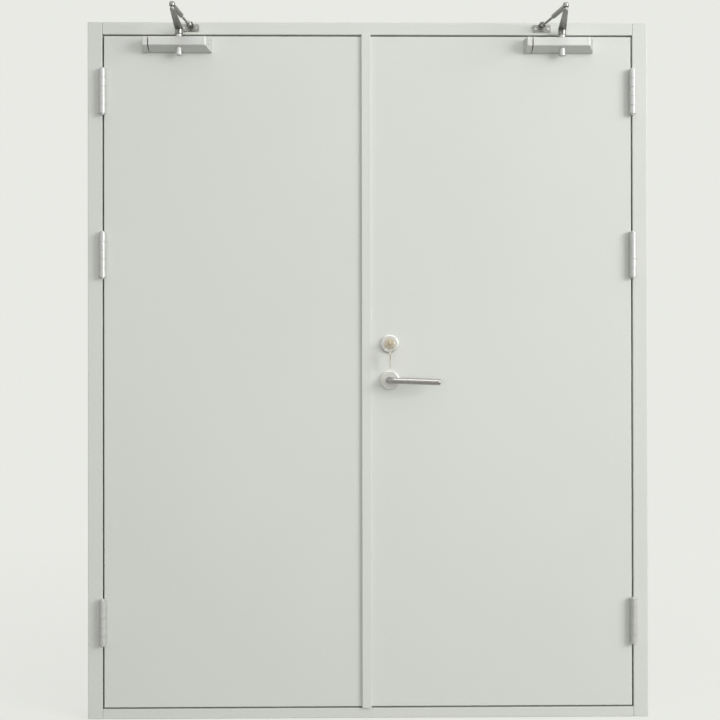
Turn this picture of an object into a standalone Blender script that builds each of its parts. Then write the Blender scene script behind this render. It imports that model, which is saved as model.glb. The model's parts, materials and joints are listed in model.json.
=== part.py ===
"""Steel double fire door: two flush leaves in a rebated steel frame, with overhead closers.

Metres, +Z up. The pull side faces -Y. The origin is the middle of the threshold's underside.
"""

import bpy
import bmesh
import math
from mathutils import Matrix, Vector

# Frame
FRAME_WIDTH = 1.690
FRAME_HEIGHT = 2.100
FRAME_DEPTH = 0.110
JAMB_FACE = 0.044
HEAD_FACE = 0.038
THRESHOLD_FACE = 0.030
STOP_REACH = 0.020
THRESHOLD_STOP_REACH = 0.015
FRAME_EDGE_ROUND = 0.002

# Seals let into the stop
SEAL_WIDTH = 0.012
SEAL_DEPTH = 0.003
SEAL_INSET = 0.004

# Leaves
LEAF_THICKNESS = 0.050
LEAF_EDGE_ROUND = 0.0015
EDGE_GAP = 0.005
STOP_GAP = 0.005
MEETING_GAP = 0.010
SKIN_THICKNESS = 0.0015
SKIN_MARGIN = 0.010
SKIN_SEAM = 0.0005

# Cover strip on the right leaf, in front of the meeting gap
STRIP_OVERLAP = 0.015
STRIP_FOOT = 0.003
STRIP_STANDOFF = 0.005
STRIP_THICKNESS = 0.003
STRIP_LEG_THICKNESS = 0.002
STRIP_LEG_DEPTH = 0.010
STRIP_OVER_TOP = 0.007
STRIP_UNDER_BOTTOM = 0.003
STRIP_ROUND = 0.0012

# Hinges
BOTTOM_HINGE_UP = 0.257
MIDDLE_HINGE_DOWN = 0.661
TOP_HINGE_DOWN = 0.169
HINGE_STANDOFF = 0.011
BARREL_RADIUS = 0.0105
BARREL_LENGTH = 0.134
KNUCKLE_COUNT = 5
KNUCKLE_GAP = 0.0005
PIN_RADIUS = 0.004
PIN_PLAY = 0.0004
PIN_TIP_RADIUS = 0.0065
PIN_TIP_LENGTH = 0.005
PIN_TIP_ROUND = 0.0015
PLATE_PLAY = 0.0004
PLATE_DEPTH = 0.040
PLATE_STEP_BACK = 0.001

# Closers, the left and the right one set at their own places
LEFT_SPINDLE_FROM_EDGE = 0.229
RIGHT_SPINDLE_FROM_EDGE = 0.212
LEFT_SHOE_OFFSET = 0.031
RIGHT_SHOE_OFFSET = 0.058
CLOSER_BELOW_LEAF_TOP = 0.011
CLOSER_HEIGHT = 0.040
CLOSER_DEPTH = 0.040
CLOSER_FACE_HEIGHT = 0.027
CLOSER_BOTTOM_DEPTH = 0.012
CLOSER_LEFT_REACH = 0.089
CLOSER_RIGHT_REACH = 0.072
CLOSER_CAP_LENGTH = 0.024
CLOSER_CAP_TAPER = 0.006
CLOSER_ROUND = 0.003
SPINDLE_STANDOFF = 0.023
BOSS_RADIUS = 0.009
BOSS_DROP = 0.013
TOP_BOSS_RISE = 0.010

# Arms
MAIN_ARM_LENGTH = 0.192
FOREARM_LENGTH = 0.188
MAIN_ARM_RISE = 0.013
MAIN_ARM_THICKNESS = 0.006
MAIN_ARM_ROOT_RADIUS = 0.012
MAIN_ARM_TIP_RADIUS = 0.0065
MAIN_ARM_HUB_RADIUS = 0.0115
MAIN_ARM_HUB_CROWN = 0.001
ARM_LAYER_GAP = 0.004
FOREARM_EYE_THICKNESS = 0.008
FOREARM_EYE_RADIUS = 0.0085
FOREARM_ROD_RADIUS = 0.0036
FOREARM_SLEEVE_RADIUS = 0.007
FOREARM_SLEEVE_LENGTH = 0.095
ELBOW_STUB_RADIUS = 0.004
ELBOW_STUB_GAP = 0.0005
ELBOW_NUT_RADIUS = 0.0075
ELBOW_NUT_HEIGHT = 0.005
SHOE_STANDOFF = 0.028
SHOE_WIDTH = 0.053
SHOE_HEIGHT = 0.022
SHOE_PLATE = 0.004
SHOE_TONGUE_WIDTH = 0.020
SHOE_TONGUE_THICKNESS = 0.004
SHOE_PIN_RADIUS = 0.004

# Lock set on the right leaf
BACKSET = 0.059
LEVER_HEIGHT = 1.018
CYLINDER_RISE = 0.1095
LEVER_ROSETTE_RADIUS = 0.029
CYLINDER_ROSETTE_RADIUS = 0.027
ROSETTE_THICKNESS = 0.008
ROSETTE_ROUND = 0.003
LEVER_TUBE_RADIUS = 0.0092
LEVER_STANDOFF = 0.052
LEVER_REACH = 0.150
LEVER_BEND = 0.020
LEVER_DROOP_DEG = 2.0
LEVER_END_ROUND = 0.005
LEVER_NECK_PLAY = 0.0008
SPINDLE_BAR = 0.009
SPINDLE_BORE_RADIUS = 0.011
CYLINDER_RADIUS = 0.015
CYLINDER_PROUD = 0.002
PLUG_RADIUS = 0.0075
PLUG_DEPTH = 0.030
PLUG_PROUD = 0.001
FOREND_WIDTH = 0.022
FOREND_LENGTH = 0.235
FOREND_THICKNESS = 0.003
STRIKE_LENGTH = 0.180
FLUSH_BOLT_LENGTH = 0.200
FLUSH_BOLT_FROM_END = 0.060

# Keys
KEY_THICKNESS = 0.0022
KEY_BLADE_HEIGHT = 0.008
KEY_BLADE_IN_PLUG = 0.012
KEY_SHANK = 0.010
KEY_BOW_RADIUS = 0.0115
KEY_HOLE_RADIUS = 0.003
KEY_BLADE_LENGTH = 0.030
RING_RADIUS = 0.0115
RING_WIRE_RADIUS = 0.0008

# Clearance between pieces that seat on each other
SEAT = 0.0003

# How finely round shapes are divided
ROUND_SIDES = 24
BARREL_SIDES = 20
PIN_SIDES = 16
STUB_SIDES = 12
NUT_SIDES = 6
CYLINDER_SIDES = 32
ROSETTE_STEPS = 36
RIM_STEPS = 3
LINK_END_STEPS = 8
BEND_STEPS = 6
KEY_BOW_STEPS = 14
RING_STEPS = 28
RING_WIRE_STEPS = 8

# Places worked out from the sizes above
FRONT = -FRAME_DEPTH / 2
LEAF_BACK = FRONT + LEAF_THICKNESS
STOP_FRONT = LEAF_BACK + STOP_GAP
HALF_WIDTH = FRAME_WIDTH / 2
JAMB_INNER = HALF_WIDTH - JAMB_FACE
STOP_INNER = JAMB_INNER - STOP_REACH
HEAD_UNDER = FRAME_HEIGHT - HEAD_FACE
STOP_UNDER = HEAD_UNDER - STOP_REACH
LEAF_OUTER = JAMB_INNER - EDGE_GAP
LEAF_INNER = MEETING_GAP / 2
LEAF_BOTTOM = THRESHOLD_FACE + EDGE_GAP
LEAF_TOP = HEAD_UNDER - EDGE_GAP
HINGE_HEIGHTS = (LEAF_BOTTOM + BOTTOM_HINGE_UP, LEAF_TOP - MIDDLE_HINGE_DOWN, LEAF_TOP - TOP_HINGE_DOWN)
HINGE_X = JAMB_INNER - EDGE_GAP / 2
HINGE_Y = FRONT - HINGE_STANDOFF
PLATE_THICKNESS = (EDGE_GAP - 2 * SEAT - PLATE_PLAY) / 2
PLATE_FRONT = HINGE_Y + BARREL_RADIUS + PLATE_STEP_BACK
CLOSER_TOP = LEAF_TOP - CLOSER_BELOW_LEAF_TOP
SPINDLE_Y = FRONT - SPINDLE_STANDOFF
SHOE_Y = FRONT - SHOE_STANDOFF
MAIN_ARM_LOW = LEAF_TOP + MAIN_ARM_RISE
MAIN_ARM_HIGH = MAIN_ARM_LOW + MAIN_ARM_THICKNESS
FOREARM_LOW = MAIN_ARM_HIGH + ARM_LAYER_GAP
FOREARM_HIGH = FOREARM_LOW + FOREARM_EYE_THICKNESS
FOREARM_MID = (FOREARM_LOW + FOREARM_HIGH) / 2
TONGUE_LOW = FOREARM_HIGH + SEAT
LOCK_X = LEAF_INNER + BACKSET
CYLINDER_HEIGHT = LEVER_HEIGHT + CYLINDER_RISE
EDGE_PLATE_Y = (FRONT + LEAF_BACK) / 2

ALONG_X = Matrix.Rotation(math.radians(90), 4, "Y")
ALONG_Y = Matrix.Rotation(math.radians(90), 4, "X")
ALONG_Z = Matrix.Identity(4)
# Lays an outline drawn along +X flat, pointing to +Y
ALONG_Y_FLAT = Matrix.Rotation(math.radians(90), 4, "Z")
# Turns an outline drawn as (Y, Z) points into the YZ plane, with its thickness along X
ACROSS_X = Matrix(((0, 0, 1, 0), (1, 0, 0, 0), (0, 1, 0, 0), (0, 0, 0, 1)))


def clear_scene():
    for obj in list(bpy.data.objects):
        bpy.data.objects.remove(obj, do_unlink=True)


def new_collection(name):
    collection = bpy.data.collections.new(name)
    bpy.context.scene.collection.children.link(collection)
    return collection


def make_material(name, colour, roughness, metallic):
    material = bpy.data.materials.new(name)
    material.use_nodes = True
    shader = material.node_tree.nodes["Principled BSDF"]
    shader.inputs["Base Color"].default_value = (*colour, 1.0)
    shader.inputs["Roughness"].default_value = roughness
    shader.inputs["Metallic"].default_value = metallic
    material.diffuse_color = (*colour, 1.0)
    return material


clear_scene()
PARTS = new_collection("steel_double_fire_door")
CUTTERS = new_collection("cutters")
PAINT = make_material("door_paint", (0.62, 0.63, 0.58), 0.42, 0.0)
FRAME_PAINT = make_material("frame_paint", (0.60, 0.61, 0.56), 0.42, 0.0)
CLOSER_PAINT = make_material("closer_paint", (0.62, 0.62, 0.58), 0.35, 0.3)
STAINLESS = make_material("satin_stainless", (0.55, 0.54, 0.52), 0.3, 1.0)
BARREL_STEEL = make_material("bright_hinge_steel", (0.72, 0.72, 0.71), 0.25, 1.0)
ARM_STEEL = make_material("arm_steel", (0.30, 0.30, 0.29), 0.4, 1.0)
BRASS = make_material("key_brass", (0.62, 0.55, 0.36), 0.3, 1.0)
SEAL_RUBBER = make_material("seal_rubber", (0.03, 0.03, 0.03), 0.8, 0.0)


def add_object(name, mesh, material=None):
    """Link a mesh as a part, or as a hidden cutter when it has no material."""
    obj = bpy.data.objects.new(name, mesh)
    if material is None:
        CUTTERS.objects.link(obj)
        obj.hide_render = True
        obj.display_type = "WIRE"
    else:
        PARTS.objects.link(obj)
        mesh.materials.clear()
        mesh.materials.append(material)
    return obj


def box(name, low, high, material=None):
    low = Vector(low)
    high = Vector(high)
    mesh = bpy.data.meshes.new(name)
    shape = bmesh.new()
    bmesh.ops.create_cube(shape, size=1.0, matrix=Matrix.Diagonal((*(high - low), 1.0)))
    shape.to_mesh(mesh)
    shape.free()
    obj = add_object(name, mesh, material)
    obj.location = (low + high) / 2
    return obj


def cylinder(name, centre, radius, length, turn=ALONG_Z, material=None, sides=ROUND_SIDES):
    """A cylinder along its own Z, turned and put at its centre."""
    mesh = bpy.data.meshes.new(name)
    shape = bmesh.new()
    bmesh.ops.create_cone(
        shape,
        cap_ends=True,
        segments=sides,
        radius1=radius,
        radius2=radius,
        depth=length,
    )
    shape.to_mesh(mesh)
    shape.free()
    mesh.shade_smooth()
    mesh.set_sharp_from_angle(angle=math.radians(35))
    obj = add_object(name, mesh, material)
    obj.matrix_world = Matrix.Translation(Vector(centre)) @ turn
    return obj


def turned(name, profile, place, material, steps):
    """A solid turned about its own Z from (radius, height) points, outer side from top to bottom."""
    mesh = bpy.data.meshes.new(name)
    edges = [(index, index + 1) for index in range(len(profile) - 1)]
    mesh.from_pydata([(radius, 0.0, height) for radius, height in profile], edges, [])
    obj = add_object(name, mesh, material)
    obj.matrix_world = place
    screw = obj.modifiers.new("turn", "SCREW")
    screw.steps = steps
    screw.render_steps = steps
    screw.use_merge_vertices = True
    screw.merge_threshold = 0.00001
    screw.use_smooth_shade = True
    return obj


def curve_to_mesh(curve_object, name, material):
    """Make a mesh object from a curve object, weld its caps and remove the curve."""
    bpy.context.view_layer.update()
    graph = bpy.context.evaluated_depsgraph_get()
    mesh = bpy.data.meshes.new_from_object(curve_object.evaluated_get(graph))
    mesh.name = name
    shape = bmesh.new()
    shape.from_mesh(mesh)
    bmesh.ops.remove_doubles(shape, verts=shape.verts, dist=0.000005)
    bmesh.ops.recalc_face_normals(shape, faces=shape.faces)
    shape.to_mesh(mesh)
    shape.free()
    place = curve_object.matrix_world.copy()
    curve = curve_object.data
    bpy.data.objects.remove(curve_object, do_unlink=True)
    bpy.data.curves.remove(curve)
    obj = add_object(name, mesh, material)
    obj.matrix_world = place
    return obj


def outline_solid(name, points, thickness, place, material=None):
    """A flat outline in its own XY plane, thickened evenly about that plane."""
    curve = bpy.data.curves.new(name + "_outline", "CURVE")
    curve.dimensions = "2D"
    curve.fill_mode = "BOTH"
    curve.extrude = thickness / 2
    spline = curve.splines.new("POLY")
    spline.points.add(len(points) - 1)
    for point, (x, y) in zip(spline.points, points):
        point.co = (x, y, 0.0, 1.0)
    spline.use_cyclic_u = True
    guide = bpy.data.objects.new(name + "_outline", curve)
    CUTTERS.objects.link(guide)
    guide.matrix_world = place
    return curve_to_mesh(guide, name, material)


def tube(name, points, radius, place, material=None, resolution=4):
    """A round bar along a chain of points, with filled ends."""
    curve = bpy.data.curves.new(name + "_path", "CURVE")
    curve.dimensions = "3D"
    curve.bevel_depth = radius
    curve.bevel_resolution = resolution
    curve.use_fill_caps = True
    spline = curve.splines.new("POLY")
    spline.points.add(len(points) - 1)
    for point, where in zip(spline.points, points):
        point.co = (*where, 1.0)
    guide = bpy.data.objects.new(name + "_path", curve)
    CUTTERS.objects.link(guide)
    guide.matrix_world = place
    obj = curve_to_mesh(guide, name, material)
    obj.data.shade_smooth()
    obj.data.set_sharp_from_angle(angle=math.radians(40))
    return obj


def round_edges(obj, width, segments=2, angle_deg=40):
    bevel = obj.modifiers.new("round_edges", "BEVEL")
    bevel.width = width
    bevel.segments = segments
    bevel.limit_method = "ANGLE"
    bevel.angle_limit = math.radians(angle_deg)
    return obj


def combine(target, other, operation="UNION"):
    step = target.modifiers.new(operation.lower(), "BOOLEAN")
    step.operation = operation
    step.solver = "EXACT"
    step.object = other
    return target


def cut(target, other):
    return combine(target, other, "DIFFERENCE")


def attach(obj, pivot):
    """Parent an object to a pivot and leave it where it is."""
    bpy.context.view_layer.update()
    obj.parent = pivot
    obj.matrix_parent_inverse = pivot.matrix_world.inverted()
    return obj


def pivot_at(name, place):
    pivot = bpy.data.objects.new(name, None)
    PARTS.objects.link(pivot)
    pivot.empty_display_size = 0.05
    pivot.location = place
    bpy.context.view_layer.update()
    return pivot


def side_span(side, near, far):
    """Low and high X of a span between two distances from the middle, on one side."""
    return min(side * near, side * far), max(side * near, side * far)


def at(x, y, z):
    return Matrix.Translation(Vector((x, y, z)))


# Frame
def build_jamb(name, side):
    low_x, high_x = side_span(side, JAMB_INNER, HALF_WIDTH)
    jamb = box(name, (low_x, FRONT, 0), (high_x, -FRONT, FRAME_HEIGHT), FRAME_PAINT)
    stop_low, stop_high = side_span(side, STOP_INNER, HALF_WIDTH - JAMB_FACE / 2)
    stop = box(name + "_stop", (stop_low, STOP_FRONT, 0), (stop_high, -FRONT, FRAME_HEIGHT))
    round_edges(jamb, FRAME_EDGE_ROUND)
    round_edges(stop, FRAME_EDGE_ROUND)
    combine(jamb, stop)
    cut(jamb, box(name + "_groove", *jamb_seal_box(side, SEAT)))


def jamb_seal_box(side, clearance=0.0):
    near = STOP_INNER + SEAL_INSET
    low_x, high_x = side_span(side, near - clearance, near + SEAL_WIDTH + clearance)
    low = (low_x, STOP_FRONT - clearance, LEAF_BOTTOM - clearance)
    high = (high_x, STOP_FRONT + SEAL_DEPTH + clearance, HEAD_UNDER + clearance)
    return low, high


def head_seal_box(clearance=0.0):
    reach = STOP_INNER - SEAL_INSET
    low_z = STOP_UNDER + SEAL_INSET
    low = (-reach - clearance, STOP_FRONT - clearance, low_z - clearance)
    high = (reach + clearance, STOP_FRONT + SEAL_DEPTH + clearance, low_z + SEAL_WIDTH + clearance)
    return low, high


def build_cross_member(name, inner_z, outer_z, stop_z):
    """A frame member between the jambs: its face, and its stop behind the leaves."""
    face_reach = JAMB_INNER - SEAT
    stop_reach = STOP_INNER - SEAT
    low_z, high_z = min(inner_z, outer_z), max(inner_z, outer_z)
    member = box(name, (-face_reach, FRONT, low_z), (face_reach, STOP_FRONT - SEAT, high_z), FRAME_PAINT)
    low_z, high_z = min(stop_z, outer_z), max(stop_z, outer_z)
    back = box(name + "_stop", (-stop_reach, STOP_FRONT, low_z), (stop_reach, -FRONT, high_z))
    low_z, high_z = min(inner_z, outer_z), max(inner_z, outer_z)
    inset = FRAME_EDGE_ROUND
    bridge_low = (-stop_reach + inset, (STOP_FRONT + FRONT) / 2, low_z)
    bridge_high = (stop_reach - inset, -FRONT / 2, high_z)
    bridge = box(name + "_bridge", bridge_low, bridge_high)
    round_edges(member, FRAME_EDGE_ROUND)
    round_edges(back, FRAME_EDGE_ROUND)
    combine(member, bridge)
    combine(member, back)
    return member


def build_frame():
    build_jamb("left_jamb", -1)
    build_jamb("right_jamb", 1)
    head = build_cross_member("head", HEAD_UNDER, FRAME_HEIGHT, STOP_UNDER)
    cut(head, box("head_groove", *head_seal_box(SEAT)))
    build_cross_member("threshold", THRESHOLD_FACE, 0.0, THRESHOLD_FACE + THRESHOLD_STOP_REACH)
    box("left_seal", *jamb_seal_box(-1), SEAL_RUBBER)
    box("right_seal", *jamb_seal_box(1), SEAL_RUBBER)
    box("head_seal", *head_seal_box(), SEAL_RUBBER)


# Leaves
def edge_plate_box(side, centre_z, length, clearance=0.0):
    """A plate let in flush with a leaf's meeting edge."""
    near = LEAF_INNER
    low_x, high_x = side_span(side, near - clearance, near + FOREND_THICKNESS + clearance)
    half = length / 2 + clearance
    half_width = FOREND_WIDTH / 2 + clearance
    low = (low_x, EDGE_PLATE_Y - half_width, centre_z - half)
    high = (high_x, EDGE_PLATE_Y + half_width, centre_z + half)
    return low, high


def build_leaf(name, side, pivot):
    low_x, high_x = side_span(side, LEAF_INNER, LEAF_OUTER)
    leaf = box(name + "_panel", (low_x, FRONT, LEAF_BOTTOM), (high_x, LEAF_BACK, LEAF_TOP), PAINT)
    round_edges(leaf, LEAF_EDGE_ROUND)
    skin_low = (low_x + SKIN_MARGIN, LEAF_BACK - SKIN_THICKNESS, LEAF_BOTTOM + SKIN_MARGIN)
    skin_high = (high_x - SKIN_MARGIN, LEAF_BACK, LEAF_TOP - SKIN_MARGIN)
    skin = box(name + "_back_skin", skin_low, skin_high, PAINT)
    room = Vector((SKIN_SEAM, SEAT, SKIN_SEAM))
    recess = box(
        name + "_back_recess",
        Vector(skin_low) - room,
        Vector(skin_high) + Vector((SKIN_SEAM, LEAF_THICKNESS, SKIN_SEAM)),
    )
    cut(leaf, recess)
    attach(leaf, pivot)
    attach(skin, pivot)
    return leaf, skin


def add_edge_plate(name, leaf, side, centre_z, length, pivot):
    cut(leaf, box(name + "_pocket", *edge_plate_box(side, centre_z, length, SEAT)))
    plate = box(name, *edge_plate_box(side, centre_z, length), STAINLESS)
    attach(plate, pivot)
    return plate


def build_cover_strip(pivot):
    """A folded strip: a lip over the meeting gap, a foot on the right leaf's face, a leg on its edge."""
    lip_left = -LEAF_INNER - STRIP_OVERLAP
    right = LEAF_INNER + STRIP_FOOT
    outer = FRONT - STRIP_STANDOFF - STRIP_THICKNESS
    inner = FRONT - STRIP_STANDOFF
    root = inner - STRIP_THICKNESS / 2
    leg_right = LEAF_INNER - SEAT
    leg_left = leg_right - STRIP_LEG_THICKNESS
    low = (lip_left, outer, LEAF_BOTTOM - STRIP_UNDER_BOTTOM)
    high = (right, inner, LEAF_TOP + STRIP_OVER_TOP)
    strip = box("cover_strip", low, high, PAINT)
    round_edges(strip, STRIP_ROUND)
    foot = box("cover_strip_foot", (leg_left, root, LEAF_BOTTOM), (right - SEAT, FRONT - SEAT, LEAF_TOP))
    leg_back = FRONT + STRIP_LEG_DEPTH
    leg = box("cover_strip_leg", (leg_left, root, LEAF_BOTTOM), (leg_right, leg_back, LEAF_TOP))
    combine(strip, foot)
    combine(strip, leg)
    attach(strip, pivot)


# Hinges
def knuckle_centre(index, centre_z):
    pitch = (BARREL_LENGTH + KNUCKLE_GAP) / KNUCKLE_COUNT
    return centre_z + (index - (KNUCKLE_COUNT - 1) / 2) * pitch


def knuckle_length():
    return (BARREL_LENGTH + KNUCKLE_GAP) / KNUCKLE_COUNT - KNUCKLE_GAP


def hinge_plate_outline(indices):
    """The stamped plate seen along X: (Y, Z) points from the barrel's axis, one finger for each knuckle."""
    step = PLATE_FRONT - HINGE_Y
    root = PIN_RADIUS + 2 * PIN_PLAY
    finger = knuckle_length() / 2 - PLATE_STEP_BACK / 2
    half = BARREL_LENGTH / 2
    points = [(step, half), (step + PLATE_DEPTH, half), (step + PLATE_DEPTH, -half), (step, -half)]
    for index in indices:
        middle = knuckle_centre(index, 0.0)
        low, high = middle - finger, middle + finger
        points += [(step, low), (root, low), (root, high), (step, high)]
    return points


def hinge_half(name, side, centre_z, indices, toward_jamb):
    """One plate with its own knuckles round the barrel's axis."""
    axis_x = side * HINGE_X
    outward = side if toward_jamb else -side
    middle_x = axis_x + outward * (PLATE_PLAY + PLATE_THICKNESS) / 2
    place = at(middle_x, HINGE_Y, centre_z) @ ACROSS_X
    plate = outline_solid(name, hinge_plate_outline(indices), PLATE_THICKNESS, place, BARREL_STEEL)
    for index in indices:
        where = (axis_x, HINGE_Y, knuckle_centre(index, centre_z))
        knuckle_name = f"{name}_knuckle_{index}"
        combine(plate, cylinder(knuckle_name, where, BARREL_RADIUS, knuckle_length(), sides=BARREL_SIDES))
    return plate


def hinge_pin(name, axis):
    """The pin with a round tip beyond each end of the barrel."""
    half = BARREL_LENGTH / 2
    end = half + PIN_TIP_LENGTH
    seat = half - PIN_TIP_ROUND
    crown = PIN_TIP_RADIUS - PIN_TIP_ROUND
    upper = [
        (0.0, end),
        (crown, end),
        (PIN_TIP_RADIUS, end - PIN_TIP_ROUND),
        (PIN_TIP_RADIUS, seat),
        (PIN_RADIUS, seat),
    ]
    lower = [(radius, -height) for radius, height in reversed(upper)]
    return turned(name, upper + lower, at(*axis), None, PIN_SIDES)


def build_hinge(name, side, centre_z, pivot):
    axis = (side * HINGE_X, HINGE_Y, centre_z)
    frame_half = hinge_half(name + "_frame_half", side, centre_z, range(0, KNUCKLE_COUNT, 2), True)
    combine(frame_half, hinge_pin(name + "_pin", axis))
    leaf_half = hinge_half(name + "_leaf_half", side, centre_z, range(1, KNUCKLE_COUNT, 2), False)
    bore = cylinder(name + "_bore", axis, PIN_RADIUS + PIN_PLAY, BARREL_LENGTH * 2, sides=PIN_SIDES)
    cut(leaf_half, bore)
    attach(leaf_half, pivot)


# Closers and arms
def elbow_point(spindle, shoe):
    """Where the two arms meet in front of the door, for a spindle and a shoe pivot seen from above."""
    spindle = Vector(spindle)
    span = Vector(shoe) - spindle
    distance = span.length
    along = (MAIN_ARM_LENGTH**2 - FOREARM_LENGTH**2 + distance**2) / (2 * distance)
    height = math.sqrt(MAIN_ARM_LENGTH**2 - along**2)
    foot = spindle + span * (along / distance)
    across = Vector((-span.y, span.x)) * (height / distance)
    return min((foot + across, foot - across), key=lambda point: point.y)


def round_end(centre_x, radius, start_angle):
    """Half a circle of points about a place on the X axis."""
    angles = [start_angle + math.pi * step / LINK_END_STEPS for step in range(LINK_END_STEPS + 1)]
    return [(centre_x + radius * math.cos(angle), radius * math.sin(angle)) for angle in angles]


def link_outline(length, near_radius, far_radius):
    """A flat link from its own origin along +X, with round ends."""
    return round_end(0.0, near_radius, math.pi / 2) + round_end(length, far_radius, -math.pi / 2)


def facing(start, end):
    """Turn about Z that points +X from one place to the other, seen from above."""
    return Matrix.Rotation(math.atan2(end.y - start.y, end.x - start.x), 4, "Z")


def add_post(target, name, centre, low, high, radius, sides=ROUND_SIDES):
    """Join an upright round post to a solid."""
    where = (centre.x, centre.y, (low + high) / 2)
    combine(target, cylinder(name, where, radius, high - low, sides=sides))


def closer_profile():
    """The housing seen along X, as (Y, Z) points: an upright face over a slanted lower face."""
    back = FRONT - SEAT
    front = FRONT - CLOSER_DEPTH
    return [
        (back, CLOSER_TOP),
        (front, CLOSER_TOP),
        (front, CLOSER_TOP - CLOSER_FACE_HEIGHT),
        (FRONT - CLOSER_BOTTOM_DEPTH, CLOSER_TOP - CLOSER_HEIGHT),
        (back, CLOSER_TOP - CLOSER_HEIGHT),
    ]


def build_closer_cover(name, end_x, direction, pivot):
    """A cover on one end of the housing, with its front corner slanted back."""
    middle_x = end_x + direction * (SEAT + CLOSER_CAP_LENGTH / 2)
    place = at(middle_x, 0, 0) @ ACROSS_X
    cover = outline_solid(name + "_cover", closer_profile(), CLOSER_CAP_LENGTH, place, CLOSER_PAINT)
    slant = box(
        name + "_slant",
        (-CLOSER_CAP_LENGTH, -CLOSER_DEPTH, -CLOSER_DEPTH),
        (CLOSER_CAP_LENGTH, CLOSER_DEPTH, CLOSER_DEPTH),
    )
    lean = Matrix.Rotation(direction * math.atan2(CLOSER_CAP_TAPER, CLOSER_DEPTH / 2), 4, "Z")
    tip_x = middle_x + direction * CLOSER_CAP_LENGTH / 2
    edge = at(tip_x, FRONT - CLOSER_DEPTH / 2, CLOSER_TOP - CLOSER_HEIGHT / 2)
    slant.matrix_world = edge @ lean @ at(direction * CLOSER_CAP_LENGTH, 0, 0)
    cut(cover, slant)
    round_edges(cover, CLOSER_ROUND, angle_deg=30)
    attach(cover, pivot)


def build_closer_body(name, side, spindle, pivot):
    """The housing with the spindle's boss below and above it, and a cover at each end."""
    left_end = spindle.x - CLOSER_LEFT_REACH
    right_end = spindle.x + CLOSER_RIGHT_REACH
    place = at((left_end + right_end) / 2, 0, 0) @ ACROSS_X
    body = outline_solid(name + "_body", closer_profile(), right_end - left_end, place, CLOSER_PAINT)
    round_edges(body, CLOSER_ROUND)
    middle_z = CLOSER_TOP - CLOSER_HEIGHT / 2
    boss_low = CLOSER_TOP - CLOSER_HEIGHT - BOSS_DROP
    add_post(body, name + "_low_boss", spindle, boss_low, middle_z, BOSS_RADIUS)
    add_post(body, name + "_top_boss", spindle, middle_z, CLOSER_TOP + TOP_BOSS_RISE, BOSS_RADIUS)
    attach(body, pivot)
    for end_x, direction in ((left_end, -1), (right_end, 1)):
        word = "outer" if direction == side else "inner"
        build_closer_cover(f"{name}_{word}", end_x, direction, pivot)


def build_main_arm(name, spindle, elbow, pivot):
    """A flat tapered arm, with its hub on the spindle and a stub at the elbow."""
    place = at(spindle.x, spindle.y, (MAIN_ARM_LOW + MAIN_ARM_HIGH) / 2) @ facing(spindle, elbow)
    outline = link_outline(MAIN_ARM_LENGTH, MAIN_ARM_ROOT_RADIUS, MAIN_ARM_TIP_RADIUS)
    arm = outline_solid(name, outline, MAIN_ARM_THICKNESS, place, ARM_STEEL)
    hub_low = CLOSER_TOP + TOP_BOSS_RISE + SEAT
    add_post(arm, name + "_hub", spindle, hub_low, MAIN_ARM_HIGH + MAIN_ARM_HUB_CROWN, MAIN_ARM_HUB_RADIUS)
    stub_high = MAIN_ARM_HIGH + (ARM_LAYER_GAP - ELBOW_STUB_GAP) / 2
    add_post(arm, name + "_stub", elbow, MAIN_ARM_LOW, stub_high, ELBOW_STUB_RADIUS, STUB_SIDES)
    attach(arm, pivot)


def add_bar(target, name, line, start, end, radius, sides):
    """Join a round bar to a solid, between two distances along a line's own X."""
    bar = cylinder(name, (0, 0, 0), radius, end - start, sides=sides)
    bar.matrix_world = line @ at((start + end) / 2, 0, 0) @ ALONG_X
    combine(target, bar)


def build_forearm(name, shoe, elbow):
    """Eye at the shoe, thin rod, thick sleeve and eye at the elbow, with the nut on top."""
    line = at(shoe.x, shoe.y, FOREARM_MID) @ facing(shoe, elbow)
    arm = cylinder(
        name,
        (shoe.x, shoe.y, FOREARM_MID),
        FOREARM_EYE_RADIUS,
        FOREARM_EYE_THICKNESS,
        material=ARM_STEEL,
        sides=BARREL_SIDES,
    )
    rod_start = (FOREARM_EYE_RADIUS + SHOE_PIN_RADIUS) / 2
    rod_end = FOREARM_LENGTH - FOREARM_EYE_RADIUS / 2
    add_bar(arm, name + "_rod", line, rod_start, rod_end, FOREARM_ROD_RADIUS, STUB_SIDES)
    sleeve_start = rod_end - FOREARM_SLEEVE_LENGTH
    add_bar(arm, name + "_sleeve", line, sleeve_start, rod_end, FOREARM_SLEEVE_RADIUS, PIN_SIDES)
    add_post(arm, name + "_elbow_eye", elbow, FOREARM_LOW, FOREARM_HIGH, FOREARM_EYE_RADIUS, BARREL_SIDES)
    stub_low = FOREARM_LOW - (ARM_LAYER_GAP - ELBOW_STUB_GAP) / 2
    add_post(arm, name + "_stub", elbow, stub_low, FOREARM_MID, ELBOW_STUB_RADIUS, STUB_SIDES)
    nut_high = FOREARM_HIGH + ELBOW_NUT_HEIGHT
    add_post(arm, name + "_nut", elbow, FOREARM_MID, nut_high, ELBOW_NUT_RADIUS, NUT_SIDES)
    bore_radius = SHOE_PIN_RADIUS + PIN_PLAY
    bore_place = (shoe.x, shoe.y, FOREARM_MID)
    cut(arm, cylinder(name + "_bore", bore_place, bore_radius, FOREARM_EYE_THICKNESS * 2, sides=PIN_SIDES))
    attach(arm, pivot_at(name + "_pivot", (shoe.x, shoe.y, FOREARM_MID)))


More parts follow.
